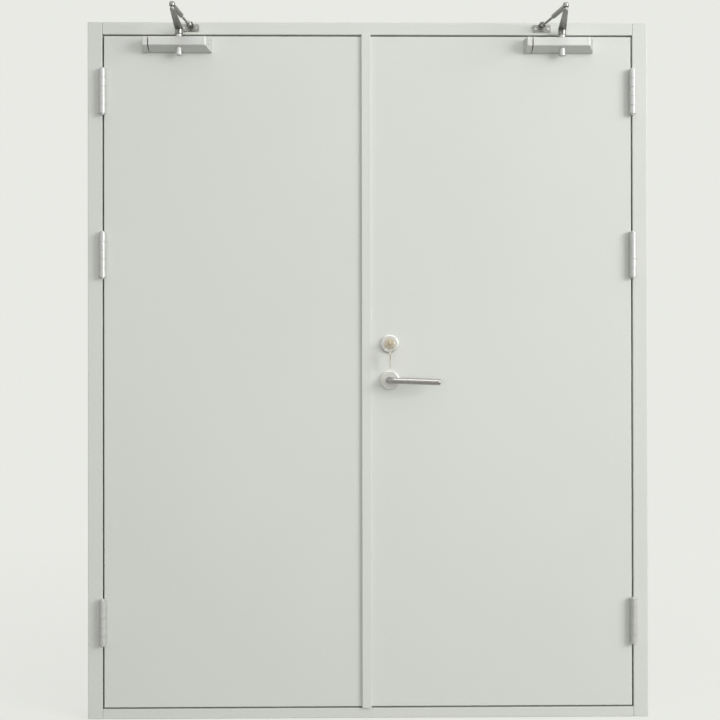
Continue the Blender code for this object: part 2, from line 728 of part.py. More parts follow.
def build_shoe(name, shoe):
    """A foot on the head's face, with a tongue over the forearm's eye and a pin through it."""
    tongue_high = TONGUE_LOW + SHOE_TONGUE_THICKNESS
    tongue_mid = (TONGUE_LOW + tongue_high) / 2
    back = FRONT - SEAT
    foot_front = back - SHOE_PLATE
    foot_low = (shoe.x - SHOE_WIDTH / 2, foot_front, tongue_high - SHOE_HEIGHT)
    foot = box(name, foot_low, (shoe.x + SHOE_WIDTH / 2, back, tongue_high), ARM_STEEL)
    half = SHOE_TONGUE_WIDTH / 2
    reach = foot_front + SHOE_PLATE / 2 - shoe.y
    outline = round_end(0.0, half, math.pi / 2) + [(reach, -half), (reach, half)]
    place = at(shoe.x, shoe.y, tongue_mid) @ ALONG_Y_FLAT
    combine(foot, outline_solid(name + "_tongue", outline, SHOE_TONGUE_THICKNESS, place))
    add_post(foot, name + "_pin", shoe, FOREARM_LOW - SEAT, tongue_mid, SHOE_PIN_RADIUS, PIN_SIDES)


def build_closer(word, side, spindle_from_edge, shoe_offset, pivot):
    spindle = Vector((side * (LEAF_OUTER - spindle_from_edge), SPINDLE_Y))
    shoe = Vector((spindle.x - side * shoe_offset, SHOE_Y))
    elbow = elbow_point(spindle, shoe)
    build_closer_body(word + "_closer", side, spindle, pivot)
    spindle_pivot = pivot_at(word + "_spindle_pivot", (spindle.x, spindle.y, MAIN_ARM_LOW))
    attach(spindle_pivot, pivot)
    build_main_arm(word + "_main_arm", spindle, elbow, spindle_pivot)
    build_forearm(word + "_forearm", shoe, elbow)
    build_shoe(word + "_closer_shoe", shoe)


# Lock set
def rosette(name, radius, hole_radius, height, face_y, outward, pivot):
    """A round cover with a rounded rim, seated on one face of the leaf."""
    rim = ROSETTE_ROUND
    shoulder = ROSETTE_THICKNESS - rim
    profile = [(hole_radius, ROSETTE_THICKNESS)]
    for step in range(RIM_STEPS + 1):
        angle = math.pi / 2 * (1 - step / RIM_STEPS)
        profile.append((radius - rim + rim * math.cos(angle), shoulder + rim * math.sin(angle)))
    profile.append((radius, 0.0))
    profile.append((hole_radius, 0.0))
    profile.append((hole_radius, ROSETTE_THICKNESS))
    turn = ALONG_Y if outward < 0 else Matrix.Rotation(math.radians(-90), 4, "X")
    place = at(LOCK_X, face_y + outward * SEAT, height) @ turn
    cover = turned(name, profile, place, STAINLESS, ROSETTE_STEPS)
    attach(cover, pivot)


def lever_path(outward, start_y):
    """Neck straight out of the leaf, a bend, and the grip along +X with a little droop."""
    reach_y = outward * LEVER_STANDOFF + (FRONT if outward < 0 else LEAF_BACK)
    bend_y = reach_y - outward * LEVER_BEND
    points = [(0.0, start_y, 0.0)]
    for step in range(BEND_STEPS + 1):
        angle = math.pi / 2 * step / BEND_STEPS
        along, out = LEVER_BEND * (1 - math.cos(angle)), LEVER_BEND * math.sin(angle)
        points.append((along, bend_y + outward * out, 0.0))
    points.append((LEVER_REACH, reach_y, 0.0))
    droop = math.radians(LEVER_DROOP_DEG)
    return [(x, y, z - x * math.tan(droop)) for x, y, z in points]


def build_lever_set(leaf, leaf_pivot):
    hole = LEVER_TUBE_RADIUS + LEVER_NECK_PLAY
    for word, face_y, outward in (("front", FRONT, -1), ("back", LEAF_BACK, 1)):
        rosette(
            word + "_lever_rosette",
            LEVER_ROSETTE_RADIUS,
            hole,
            LEVER_HEIGHT,
            face_y,
            outward,
            leaf_pivot,
        )
        rosette(
            word + "_cylinder_rosette",
            CYLINDER_ROSETTE_RADIUS,
            CYLINDER_RADIUS + SEAT,
            CYLINDER_HEIGHT,
            face_y,
            outward,
            leaf_pivot,
        )
    hole_place = (LOCK_X, EDGE_PLATE_Y, LEVER_HEIGHT)
    cut(leaf, cylinder("spindle_hole", hole_place, SPINDLE_BORE_RADIUS, LEAF_THICKNESS * 2, ALONG_Y))
    lever_pivot = pivot_at("lever_pivot", (LOCK_X, EDGE_PLATE_Y, LEVER_HEIGHT))
    attach(lever_pivot, leaf_pivot)
    place = at(LOCK_X, 0, LEVER_HEIGHT)
    front_start = FRONT - SEAT * 2
    front_lever = tube("front_lever", lever_path(-1, front_start), LEVER_TUBE_RADIUS, place, STAINLESS)
    back_lever = tube("back_lever", lever_path(1, LEAF_BACK + SEAT * 2), LEVER_TUBE_RADIUS, place, STAINLESS)
    for lever in (front_lever, back_lever):
        round_edges(lever, LEVER_END_ROUND, angle_deg=60)
    half = SPINDLE_BAR / 2
    bar = box(
        "spindle_bar",
        (LOCK_X - half, front_start + SEAT, LEVER_HEIGHT - half),
        (LOCK_X + half, LEAF_BACK + ROSETTE_THICKNESS, LEVER_HEIGHT + half),
    )
    combine(back_lever, bar)
    attach(front_lever, lever_pivot)
    attach(back_lever, lever_pivot)


def key_outline():
    """A key lying along +X: round bow about the origin, shank and blade to its tip."""
    points = []
    half_blade = KEY_BLADE_HEIGHT / 2
    open_angle = math.asin(half_blade / KEY_BOW_RADIUS)
    for step in range(KEY_BOW_STEPS + 1):
        angle = open_angle + (2 * math.pi - 2 * open_angle) * step / KEY_BOW_STEPS
        points.append((KEY_BOW_RADIUS * math.cos(angle), KEY_BOW_RADIUS * math.sin(angle)))
    return points


def build_key_piece(name, bow_centre, blade_turn, blade_length, material):
    """A flat key in the YZ plane; blade_turn points its blade from the bow's centre."""
    half_blade = KEY_BLADE_HEIGHT / 2
    outline = key_outline()
    tip = KEY_BOW_RADIUS + blade_length
    corner = half_blade / 2
    outline += [(tip - corner, -half_blade), (tip, -corner), (tip, corner), (tip - corner, half_blade)]
    place = at(*bow_centre) @ ACROSS_X @ Matrix.Rotation(blade_turn, 4, "Z")
    return outline_solid(name, outline, KEY_THICKNESS, place, material)


def cut_key_hole(key, y, z):
    place = (LOCK_X, y, z)
    hole = cylinder(key.name + "_hole", place, KEY_HOLE_RADIUS, KEY_THICKNESS * 3, ALONG_X, sides=PIN_SIDES)
    cut(key, hole)


def build_cylinder(leaf, leaf_pivot):
    front = FRONT - ROSETTE_THICKNESS - CYLINDER_PROUD
    back = LEAF_BACK + ROSETTE_THICKNESS + CYLINDER_PROUD
    hole = cylinder(
        "cylinder_hole",
        (LOCK_X, EDGE_PLATE_Y, CYLINDER_HEIGHT),
        CYLINDER_RADIUS + SEAT,
        LEAF_THICKNESS * 2,
        ALONG_Y,
    )
    cut(leaf, hole)
    barrel = cylinder(
        "lock_cylinder",
        (LOCK_X, (front + back) / 2, CYLINDER_HEIGHT),
        CYLINDER_RADIUS,
        back - front,
        ALONG_Y,
        STAINLESS,
        CYLINDER_SIDES,
    )
    plug_front = front - PLUG_PROUD
    plug_back = front + PLUG_DEPTH
    pocket = cylinder(
        "plug_pocket",
        (LOCK_X, (plug_front + plug_back) / 2, CYLINDER_HEIGHT),
        PLUG_RADIUS + PIN_PLAY,
        plug_back - plug_front + 2 * SEAT,
        ALONG_Y,
    )
    cut(barrel, pocket)
    attach(barrel, leaf_pivot)
    key_pivot = pivot_at("key_pivot", (LOCK_X, front, CYLINDER_HEIGHT))
    attach(key_pivot, leaf_pivot)
    plug = cylinder(
        "cylinder_plug",
        (LOCK_X, (plug_front + plug_back) / 2, CYLINDER_HEIGHT),
        PLUG_RADIUS,
        plug_back - plug_front,
        ALONG_Y,
        BRASS,
    )
    slot_half = KEY_THICKNESS / 2 + SEAT
    slot_rise = KEY_BLADE_HEIGHT / 2 + SEAT
    blade_end = plug_front + KEY_BLADE_IN_PLUG
    slot = box(
        "keyway",
        (LOCK_X - slot_half, plug_front - KEY_SHANK, CYLINDER_HEIGHT - slot_rise),
        (LOCK_X + slot_half, blade_end + SEAT, CYLINDER_HEIGHT + slot_rise),
    )
    cut(plug, slot)
    attach(plug, key_pivot)
    blade_length = KEY_SHANK + KEY_BLADE_IN_PLUG
    bow_y = blade_end - blade_length - KEY_BOW_RADIUS
    key = build_key_piece("key", (LOCK_X, bow_y, CYLINDER_HEIGHT), 0.0, blade_length, BRASS)
    hole_y = bow_y - KEY_BOW_RADIUS / 2
    cut_key_hole(key, hole_y, CYLINDER_HEIGHT)
    attach(key, key_pivot)
    rest = KEY_HOLE_RADIUS - RING_WIRE_RADIUS - SEAT
    ring_top = CYLINDER_HEIGHT - rest
    ring_z = ring_top - RING_RADIUS
    build_ring((LOCK_X, hole_y, ring_z), key_pivot)
    spare_hole_z = ring_z - RING_RADIUS - rest
    spare_z = spare_hole_z - KEY_BOW_RADIUS / 2
    spare = build_key_piece("spare_key", (LOCK_X, hole_y, spare_z), -math.pi / 2, KEY_BLADE_LENGTH, BRASS)
    cut_key_hole(spare, hole_y, spare_hole_z)
    attach(spare, key_pivot)


def build_ring(centre, pivot):
    """A plain wire ring standing in the XZ plane."""
    profile = []
    for step in range(RING_WIRE_STEPS + 1):
        angle = -2 * math.pi * step / RING_WIRE_STEPS
        profile.append((RING_RADIUS + RING_WIRE_RADIUS * math.cos(angle), RING_WIRE_RADIUS * math.sin(angle)))
    attach(turned("key_ring", profile, at(*centre) @ ALONG_Y, STAINLESS, RING_STEPS), pivot)


def build_door():
    build_frame()
    left_pivot = pivot_at("left_leaf_pivot", (-HINGE_X, HINGE_Y, LEAF_BOTTOM))
    right_pivot = pivot_at("right_leaf_pivot", (HINGE_X, HINGE_Y, LEAF_BOTTOM))
    left_leaf, _ = build_leaf("left_leaf", -1, left_pivot)
    right_leaf, right_skin = build_leaf("right_leaf", 1, right_pivot)
    lock_middle = LEVER_HEIGHT + CYLINDER_RISE / 2
    add_edge_plate("strike_plate", left_leaf, -1, lock_middle, STRIKE_LENGTH, left_pivot)
    bolt_half = FLUSH_BOLT_LENGTH / 2
    top_bolt = LEAF_TOP - FLUSH_BOLT_FROM_END - bolt_half
    bottom_bolt = LEAF_BOTTOM + FLUSH_BOLT_FROM_END + bolt_half
    add_edge_plate("top_flush_bolt", left_leaf, -1, top_bolt, FLUSH_BOLT_LENGTH, left_pivot)
    add_edge_plate("bottom_flush_bolt", left_leaf, -1, bottom_bolt, FLUSH_BOLT_LENGTH, left_pivot)
    add_edge_plate("lock_forend", right_leaf, 1, lock_middle, FOREND_LENGTH, right_pivot)
    build_cover_strip(right_pivot)
    for word, side, pivot in (("left", -1, left_pivot), ("right", 1, right_pivot)):
        for place, height in zip(("bottom", "middle", "top"), HINGE_HEIGHTS):
            build_hinge(f"{word}_{place}_hinge", side, height, pivot)
    build_closer("left", -1, LEFT_SPINDLE_FROM_EDGE, LEFT_SHOE_OFFSET, left_pivot)
    build_closer("right", 1, RIGHT_SPINDLE_FROM_EDGE, RIGHT_SHOE_OFFSET, right_pivot)
    build_lever_set(right_leaf, right_pivot)
    build_cylinder(right_leaf, right_pivot)
    cut(right_skin, bpy.data.objects["spindle_hole"])
    cut(right_skin, bpy.data.objects["cylinder_hole"])
    bpy.context.view_layer.update()


build_door()
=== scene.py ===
"""Steel double fire door: the finish of its surfaces, its fine hardware and a plain studio.

Laid out as an add-on and run as a script. Metres, +Z up, the pull side faces -Y.
"""

import json
import math

import bmesh
import bpy
from bpy.props import FloatProperty, FloatVectorProperty, IntProperty, PointerProperty
from bpy.types import Operator, Panel, PropertyGroup
from mathutils import Matrix, Vector


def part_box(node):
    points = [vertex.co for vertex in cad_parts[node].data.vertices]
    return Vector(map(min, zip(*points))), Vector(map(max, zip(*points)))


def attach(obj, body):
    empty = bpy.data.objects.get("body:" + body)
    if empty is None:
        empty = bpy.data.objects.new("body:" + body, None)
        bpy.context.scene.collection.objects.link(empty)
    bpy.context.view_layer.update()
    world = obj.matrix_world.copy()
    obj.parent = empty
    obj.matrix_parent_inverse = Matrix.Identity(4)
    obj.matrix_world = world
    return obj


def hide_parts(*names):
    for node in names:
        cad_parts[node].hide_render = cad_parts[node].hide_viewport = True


bl_info = {
    "name": "Steel double fire door",
    "version": (1, 0, 0),
    "blender": (4, 5, 0),
    "location": "3D View > Sidebar > Fire Door",
    "description": "Finishes the leaves, frame, hinges, closers and lock set of a steel double fire door",
    "category": "Object",
}

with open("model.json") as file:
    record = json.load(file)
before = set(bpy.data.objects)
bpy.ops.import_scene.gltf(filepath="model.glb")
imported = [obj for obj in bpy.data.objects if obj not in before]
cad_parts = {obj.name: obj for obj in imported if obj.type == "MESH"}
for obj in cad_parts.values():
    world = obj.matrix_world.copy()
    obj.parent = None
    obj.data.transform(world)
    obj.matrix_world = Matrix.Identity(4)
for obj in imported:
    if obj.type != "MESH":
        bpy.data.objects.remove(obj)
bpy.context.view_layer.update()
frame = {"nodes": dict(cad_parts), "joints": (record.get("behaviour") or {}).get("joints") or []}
JOINTS = {joint["name"]: Vector(joint["pos_m"]) for joint in frame["joints"]}

SIDES = {"left": -1, "right": 1}


def rotation(degrees, axis):
    return Matrix.Rotation(math.radians(degrees), 4, axis)


# Turns that lay a shape made about +Z along another axis
ALONG_X = rotation(90, "Y")
OUT_FRONT = rotation(90, "X")
OUT_BACK = rotation(-90, "X")
# Stands an outline drawn as (Y, Z) points up in the YZ plane, with its thickness along X
ACROSS_X = Matrix(((0, 0, 1, 0), (1, 0, 0, 0), (0, 1, 0, 0), (0, 0, 0, 1)))

# Faces and axes that the hardware sits on
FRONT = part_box("right_leaf_panel")[0].y
LEAF_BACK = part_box("right_leaf_back_skin")[1].y
LOCK_X = JOINTS["lever_turn"].x
LEVER_Z = JOINTS["lever_turn"].z
CYLINDER_Z = JOINTS["key_turn"].z

# Distances that the hardware shares; edges nearer to the leaf than NEAR_LEAF stay sharp
WELD = 0.000002
SEAT = 0.0003
FINE_RIM = 0.0003
SOFT_RIM = 0.0008
PIN_PLAY = 0.0004
SCREW_PLAY = 0.0002
NEAR_LEAF = 0.002

# Hinges
KNUCKLE_COUNT = 5
KNUCKLE_GAP = 0.0005
PIN_TIP_LENGTH = 0.005
PIN_TIP_RADIUS = 0.0065
PIN_TIP_ROUND = 0.003
PIN_TIP_SUNK = 0.0012
PLATE_DEPTH = 0.040
PLATE_THICKNESS = 0.002
PLATE_NEAR = 0.0002
PLATE_STEP_BACK = 0.001
PLATE_SCREWS = ((-0.72, 0.008), (-0.24, -0.008), (0.24, 0.008), (0.72, -0.008))
PLATE_SCREW_RADIUS = 0.0042
PLATE_SCREW_DOME = 0.00002

# Closers and arms
HOUSING_DEPTH = 0.040
HOUSING_HEIGHT = 0.040
HOUSING_FACE = 0.027
HOUSING_BOTTOM_DEPTH = 0.012
COVER_STRAIGHT = 0.010
COVER_SLANT = {-1: 0.006, 1: 0.015}
COVER_SCREW_RADIUS = 0.0028
COVER_SCREW_DROPS = (0.009, 0.019)
CAP_GROOVE = 0.003
CAP_ROUND = {-1: 0.0055, 1: 0.003}
BOSS_RADIUS = 0.009
BOSS_SEAM_DROP = 0.020
BOSS_FOOT_ROUND = 0.0015
BOSS_SEAM_ROUND = 0.001
TOP_BOSS_RISE = 0.010
MAIN_ARM_LENGTH = 0.192
MAIN_ARM_THICKNESS = 0.006
MAIN_ARM_ROOT = 0.012
MAIN_ARM_TIP = 0.0065
MAIN_ARM_HUB = 0.0115
HUB_SCREW_RADIUS = 0.0055
HUB_RISE = 0.0003
RIVET_RADIUS = 0.0052
RIVET_HEIGHT = 0.0018
RIVET_ROUND = 0.0014
FOREARM_LENGTH = 0.188
EYE_RADIUS = 0.0085
EYE_THICKNESS = 0.008
COLLAR_RADIUS = 0.0046
COLLAR_LENGTH = 0.009
ROD_IN_EYE = 0.0015
ROD_RADIUS = 0.0036
SLEEVE_RADIUS = 0.007
SLEEVE_LENGTH = 0.095
SLEEVE_ROUND = 0.0016
# Radius, the two ends from the sleeve's start, and the chamfer
LOCK_NUT = (0.00686, -0.0055, -0.0005, 0.0006)
ARM_LAYER_GAP = 0.004
STUB_RADIUS = 0.004
STUB_GAP = 0.0005
STUB_ROOT = 0.002
STUB_TOP_RADIUS = 0.0032
NUT_RADIUS = 0.0075
NUT_HEIGHT = 0.005
NUT_SUNK = 0.001
NUT_CHAMFER = 0.0007
SHOE_HEIGHT = 0.022
SHOE_PLATE = 0.004
SHOE_CORNER = 0.0035
SHOE_SCREW_RADIUS = 0.0035
SHOE_SCREW_RISE = 0.0085
SHOE_SCREW_REACH = 0.018
TONGUE_WIDTH = 0.020
TONGUE_THICKNESS = 0.004
SHOE_PIN = 0.004
SHOE_PIN_HEAD = 0.006
SHOE_PIN_RISE = 0.0016

# Lock set and edge plates
LEVER_ROSETTE = 0.029
CYLINDER_ROSETTE = 0.027
ROSETTE_THICKNESS = 0.008
LEVER_TUBE = 0.0092
LEVER_STANDOFF = 0.052
LEVER_REACH = 0.150
LEVER_BEND = 0.020
LEVER_END_ROUND = 0.005
LEVER_DROOP_DEG = 2.0
LEVER_PLAY = 0.0008
SPINDLE_BAR = 0.009
CYLINDER_RADIUS = 0.015
CYLINDER_PROUD = 0.002
PLUG_RADIUS = 0.0075
PLUG_DEPTH = 0.030
PLUG_PROUD = 0.001
KEY_THICKNESS = 0.0022
KEY_BLADE_HEIGHT = 0.008
KEY_BLADE_IN_PLUG = 0.012
KEY_SHANK = 0.010
KEY_BOW = 0.0115
KEY_HOLE = 0.003
KEY_SHOULDER = 0.007
KEY_CUT_STEP = 0.0042
SPARE_BLADE = 0.030
SPARE_CUTS = (0.0010, 0.0022, 0.0014, 0.0026, 0.0018)
RING_RADIUS = 0.0115
RING_WIRE = 0.0008
EDGE_SCREW_RADIUS = 0.0036
EDGE_SCREW_SHARE = 0.93
PLATE_CHAMFER = 0.0003
OPENING_MARGIN = 0.0008
# Openings by their width and height; the slide adds its depth and its rounding
LATCH_RISE = 0.004
LATCH_OPENING = (0.0130, 0.0200)
BOLT_DROP = 0.020
BOLT_OPENING = (0.0130, 0.0360)
SLIDE_OPENING = (0.0110, 0.0640)
SLIDE = (0.0096, 0.024, 0.0006, 0.0008)
SLIDE_SHIFT = 0.016

# Lights: each place, the point that the light looks at, and its width and height
KEY_TARGET = (0.3, 0, 1.3)
FILL_PLACE, FILL_TARGET, FILL_SIZE = (-0.4, -5.6, 1.0), (0, 0, 1.0), (3.2, 1.2)
BACK_PLACE, BACK_TARGET, BACK_SIZE = (1.6, 5.6, 2.6), (0, 0, 1.0), (3.2, 2.4)
STRIP_PLACE, STRIP_TARGET, STRIP_SIZE = (0, -1.4, 3.4), (0.1, -0.1, 1.0), (3.0, 1.6)


# Settings


def rgb(name, description, default):
    return FloatVectorProperty(
        name=name, description=description, subtype="COLOR", size=3, min=0.0, max=1.0, default=default
    )


def number(name, description, default, low=0.0, high=1.0):
    return FloatProperty(name=name, description=description, min=low, max=high, default=default)


def metres(name, description, default, low, high):
    return FloatProperty(
        name=name, description=description, unit="LENGTH", min=low, max=high, default=default
    )


def position(name, description, default):
    return FloatVectorProperty(
        name=name, description=description, subtype="TRANSLATION", unit="LENGTH", size=3, default=default
    )


class PaintSettings(PropertyGroup):
    """Colours and texture of the painted surfaces."""

    leaf_colour: rgb("Leaf colour", "Powder coat of the leaves and the cover strip", (0.640, 0.655, 0.617))
    frame_colour: rgb("Frame colour", "Powder coat of the jambs, head and threshold", (0.630, 0.645, 0.605))
    closer_colour: rgb("Closer colour", "Enamel of the closer housings", (0.594, 0.600, 0.582))
    gloss_roughness: number("Roughness", "Roughness of the satin powder coat", 0.44, 0.05)
    peel_size: metres("Peel size", "Width of one dimple of the orange peel", 0.0032, 0.0005, 0.02)
    peel_depth: metres("Peel depth", "Depth of the orange peel in the coat", 0.00006, 0.0, 0.001)
    wave_depth: metres("Sheet waviness", "Depth of the slow waves in the steel sheet", 0.0012, 0.0, 0.01)


class MetalSettings(PropertyGroup):
    """Colours and polish of the metals."""

    stainless_colour: rgb("Stainless", "Satin steel of the lever and the edge plates", (0.46, 0.45, 0.425))
    # Painted reflection: the rosettes' stainless is much lighter than the lever's, standing in for a bright
    # room that they mirror
    rosette_colour_with_painted_reflection: rgb("Rosette stainless", "Stainless steel brushed in rings", (0.76, 0.755, 0.72))
    hinge_colour: rgb("Hinge steel", "Pale zinc coat of the hinges", (0.56, 0.56, 0.547))
    arm_colour: rgb("Arm steel", "Grey plated steel of the arms and shoes", (0.33, 0.33, 0.315))
    screw_colour: rgb("Screw steel", "Bright plated steel of the screws", (0.62, 0.62, 0.60))
    brass_colour: rgb("Key brass", "Nickel brass of the keys, the cylinder and its plug", (0.76, 0.67, 0.52))
    stainless_roughness: number("Stainless roughness", "Roughness of the satin brushing", 0.24, 0.02)
    hinge_roughness: number("Hinge roughness", "Roughness of the hinge barrels", 0.38, 0.02)
    hinge_metallic: number("Hinge metal share", "How far the zinc coat mirrors like bare metal", 0.35)


class HardwareSettings(PropertyGroup):
    """Rounding and fineness of the small hardware."""

    knuckle_round: metres("Knuckle rounding", "Edge radius of the hinge knuckles", 0.0004, 0.0001, 0.003)
    housing_round: metres("Housing rounding", "Edge radius of the closer housings", 0.003, 0.0005, 0.006)
    arm_round: metres("Arm rounding", "Edge radius of the closer arms", 0.0012, 0.0001, 0.0025)
    rosette_round: metres("Rosette rounding", "Edge radius of the rosettes", 0.003, 0.0005, 0.005)
    thread_pitch: metres("Thread pitch", "Distance between two ridges of the thread", 0.00125, 0.0008, 0.004)
    round_segments: IntProperty(
        name="Round segments", description="Divisions of a full turn", min=16, max=96, default=48
    )


class StageSettings(PropertyGroup):
    """Camera, floor and light of the plain studio."""

    camera_place: position("Camera place", "Where the camera stands", (-0.067, -3.455, 1.067))
    camera_yaw_deg: number("Camera yaw", "Degrees turned to the left", -0.699, -180, 180)
    camera_pitch_deg: number("Camera pitch", "Degrees raised", 0.209, -90, 90)
    camera_roll_deg: number("Camera roll", "Degrees rolled", -0.09, -180, 180)
    camera_lens_mm: number("Lens", "Focal length in millimetres on a 36 mm sensor", 56.315, 10, 300)
    backdrop_colour: rgb("Backdrop", "Pale colour of the floor and the backdrop", (0.815, 0.823, 0.783))
    floor_return: number("Floor return", "Share of the light that the floor sends back on to the door", 0.30)
    floor_mirrored: number("Floor mirrored", "Share of the pale floor that the metals mirror", 0.40)
    room_level: number("Room light", "Strength of the light from all round", 0.485, 0, 10)
    key_power: number("Key light", "Watts of the soft key light", 450.0, 0, 5000)
    key_size: metres("Key size", "Width of the soft key light", 4.0, 0.1, 20)
    key_place: position("Key place", "Where the key light hangs", (6.6, -4.8, 3.2))
    fill_power: number("Fill light", "Watts of the broad front light", 70.0, 0, 5000)
    back_power: number("Back light", "Watts of the broad light behind the door", 85.0, 0, 5000)
    strip_power: number("Strip light", "Watts of the overhead strip that only shines show", 28.0, 0, 5000)


SETTING_GROUPS = {
    "fire_door_paint": PaintSettings,
    "fire_door_metal": MetalSettings,
    "fire_door_hardware": HardwareSettings,
    "fire_door_stage": StageSettings,
}


def hardware():
    return bpy.context.scene.fire_door_hardware


# Shapes


def at(x, y, z):
    return Matrix.Translation((x, y, z))


def new_object(name, data):
    made = bpy.data.objects.new(name, data)
    bpy.context.scene.collection.objects.link(made)
    return made


def absorb(target, shell, place=None, index=0):
    """Clean one closed shell, put it in place and add it to a piece's mesh."""
    bmesh.ops.remove_doubles(shell, verts=shell.verts, dist=WELD)
    if place is not None:
        bmesh.ops.transform(shell, matrix=place, verts=shell.verts)
    bmesh.ops.recalc_face_normals(shell, faces=shell.faces)
    for face in shell.faces:
        face.material_index = index
    carrier = bpy.data.meshes.new("carrier")
    shell.to_mesh(carrier)
    shell.free()
    target.from_mesh(carrier)
    bpy.data.meshes.remove(carrier)


def finish_piece(name, target, body, slot, node, finishes=None, sharp_deg=35):
    """Make an object at the origin, with its finishes, its body and the node that it stands for."""
    mesh = bpy.data.meshes.new(name)
    target.to_mesh(mesh)
    target.free()
    mesh.shade_smooth()
    mesh.set_sharp_from_angle(angle=math.radians(sharp_deg))
    for finish in finishes or SLOT_FINISHES[slot]:
        mesh.materials.append(finish_named(finish))
    piece = new_object(name, mesh)
    piece.modifiers.new("evened_shading", "WEIGHTED_NORMAL").keep_sharp = True
    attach(piece, body)
    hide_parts(node)


def round_edges(shell, radius, segments, angle_deg=30, edges=None):
    """Round the sharp edges of a shell, or the edges that are named."""
    if edges is None:
        shell.normal_update()
        limit = math.radians(angle_deg)
        edges = [edge for edge in shell.edges if edge.calc_face_angle(0.0) > limit]
    bmesh.ops.bevel(
        shell,
        geom=edges,
        offset=radius,
        offset_type="OFFSET",
        segments=segments,
        profile=0.5,
        affect="EDGES",
        material=-1,
        clamp_overlap=True,
    )
    return shell


def arc(centre, radius, start_deg, end_deg, steps):
    """Points on a stretch of a circle, both ends included."""
    angles = [math.radians(start_deg + (end_deg - start_deg) * step / steps) for step in range(steps + 1)]
    return [(centre[0] + radius * math.cos(angle), centre[1] + radius * math.sin(angle)) for angle in angles]


def ring_points(centre, radius, count):
    return arc(centre, radius, 0, 360 * (count - 1) / count, count - 1)


def screw_holes(spots, radius):
    return [ring_points(spot, radius + SCREW_PLAY, 20) for spot in spots]


def rectangle(low, high):
    return [(low[0], low[1]), (high[0], low[1]), (high[0], high[1]), (low[0], high[1])]


def raise_faces(shell, thickness):
    """Thicken the flat faces of a shell along Z."""
    grown = bmesh.ops.extrude_face_region(shell, geom=shell.faces[:])
    top = [item for item in grown["geom"] if isinstance(item, bmesh.types.BMVert)]
    bmesh.ops.translate(shell, vec=(0, 0, thickness), verts=top)
    bmesh.ops.recalc_face_normals(shell, faces=shell.faces)


def prism(outline, thickness):
    """A flat outline in the XY plane, thickened evenly along Z."""
    shell = bmesh.new()
    shell.faces.new([shell.verts.new((x, y, -thickness / 2)) for x, y in outline])
    raise_faces(shell, thickness)
    return shell


def sheet(outline, holes, thickness, chamfer=0.0):
    """A flat plate in the XY plane with holes through it, thickened evenly along Z."""
    shell = bmesh.new()
    edges = []
    flat = thickness - 2 * chamfer
    for loop in [outline, *holes]:
        verts = [shell.verts.new((x, y, -flat / 2)) for x, y in loop]
        edges += [shell.edges.new(pair) for pair in zip(verts, verts[1:] + verts[:1])]
    bmesh.ops.triangle_fill(shell, edges=edges, use_beauty=True)
    raise_faces(shell, flat)
    shell.normal_update()
    if chamfer > 0:
        caps = [face for face in shell.faces if abs(face.normal.z) > 0.9]
        bmesh.ops.inset_region(shell, faces=caps, thickness=chamfer, depth=chamfer, use_even_offset=True)
    return shell


def block(low, high, radius=0.0):
    low, high = Vector(low), Vector(high)
    shell = bmesh.new()
    place = Matrix.Translation((low + high) / 2) @ Matrix.Diagonal((*(high - low), 1.0))
    bmesh.ops.create_cube(shell, size=1.0, matrix=place)
    return round_edges(shell, radius, 2) if radius > 0 else shell


def turned(profile, segments, closed=False):
    """Spin (radius, height) points about the Z axis into a closed shell."""
    shell = bmesh.new()
    verts = [shell.verts.new((radius, 0.0, height)) for radius, height in profile]
    edges = [shell.edges.new(pair) for pair in zip(verts, verts[1:])]
    if closed:
        edges.append(shell.edges.new((verts[-1], verts[0])))
    bmesh.ops.spin(
        shell,
        geom=verts + edges,
        cent=(0, 0, 0),
        axis=(0, 0, 1),
        dvec=(0, 0, 0),
        angle=2 * math.pi,
        steps=segments,
        use_merge=True,
        use_duplicate=False,
    )
    bmesh.ops.remove_doubles(shell, verts=shell.verts, dist=WELD)
    return shell


def rounded_side(radius, low, high, low_round, high_round, steps=3):
    """The side of a round post with its two rims rounded, as (radius, height) points from its top."""
    side = arc((radius - high_round, high - high_round), high_round, 90, 0, steps)
    return side + arc((radius - low_round, low + low_round), low_round, 0, -90, steps)


def post(radius, low, high, low_round, high_round, steps=4):
    """A solid round post with its two rims rounded."""
    side = rounded_side(radius, low, high, low_round, high_round, steps)
    return turned([(0.0, high), *side, (0.0, low)], hardware().round_segments)


def hexagon(radius, low, high, chamfer):
    """A nut: six sides with the rims turned off."""
    shell = prism(ring_points((0, 0), radius, 6), high - low)
    bmesh.ops.translate(shell, vec=(0, 0, (low + high) / 2), verts=shell.verts)
    rims = [edge for edge in shell.edges if abs(edge.verts[0].co.z - edge.verts[1].co.z) < WELD]
    return round_edges(shell, chamfer, 1, edges=rims)


def swept(stations, segments):
    """A closed round bar through stations, each a place whose Z runs along the bar, and a radius."""
    shell = bmesh.new()
    place, radius = stations[0]
    previous = place @ Matrix.Scale(radius, 4)
    bmesh.ops.create_circle(shell, cap_ends=False, radius=1.0, segments=segments, matrix=previous)
    edges = shell.edges[:]
    rims = [edges]
    for place, radius in stations[1:]:
        grown = bmesh.ops.extrude_edge_only(shell, edges=edges)["geom"]
        edges = [item for item in grown if isinstance(item, bmesh.types.BMEdge)]
        verts = [item for item in grown if isinstance(item, bmesh.types.BMVert)]
        station = place @ Matrix.Scale(radius, 4)
        bmesh.ops.transform(shell, matrix=station @ previous.inverted(), verts=verts)
        previous = station
    rims.append(edges)
    for rim in rims:
        bmesh.ops.edgeloop_fill(shell, edges=rim)
    return shell


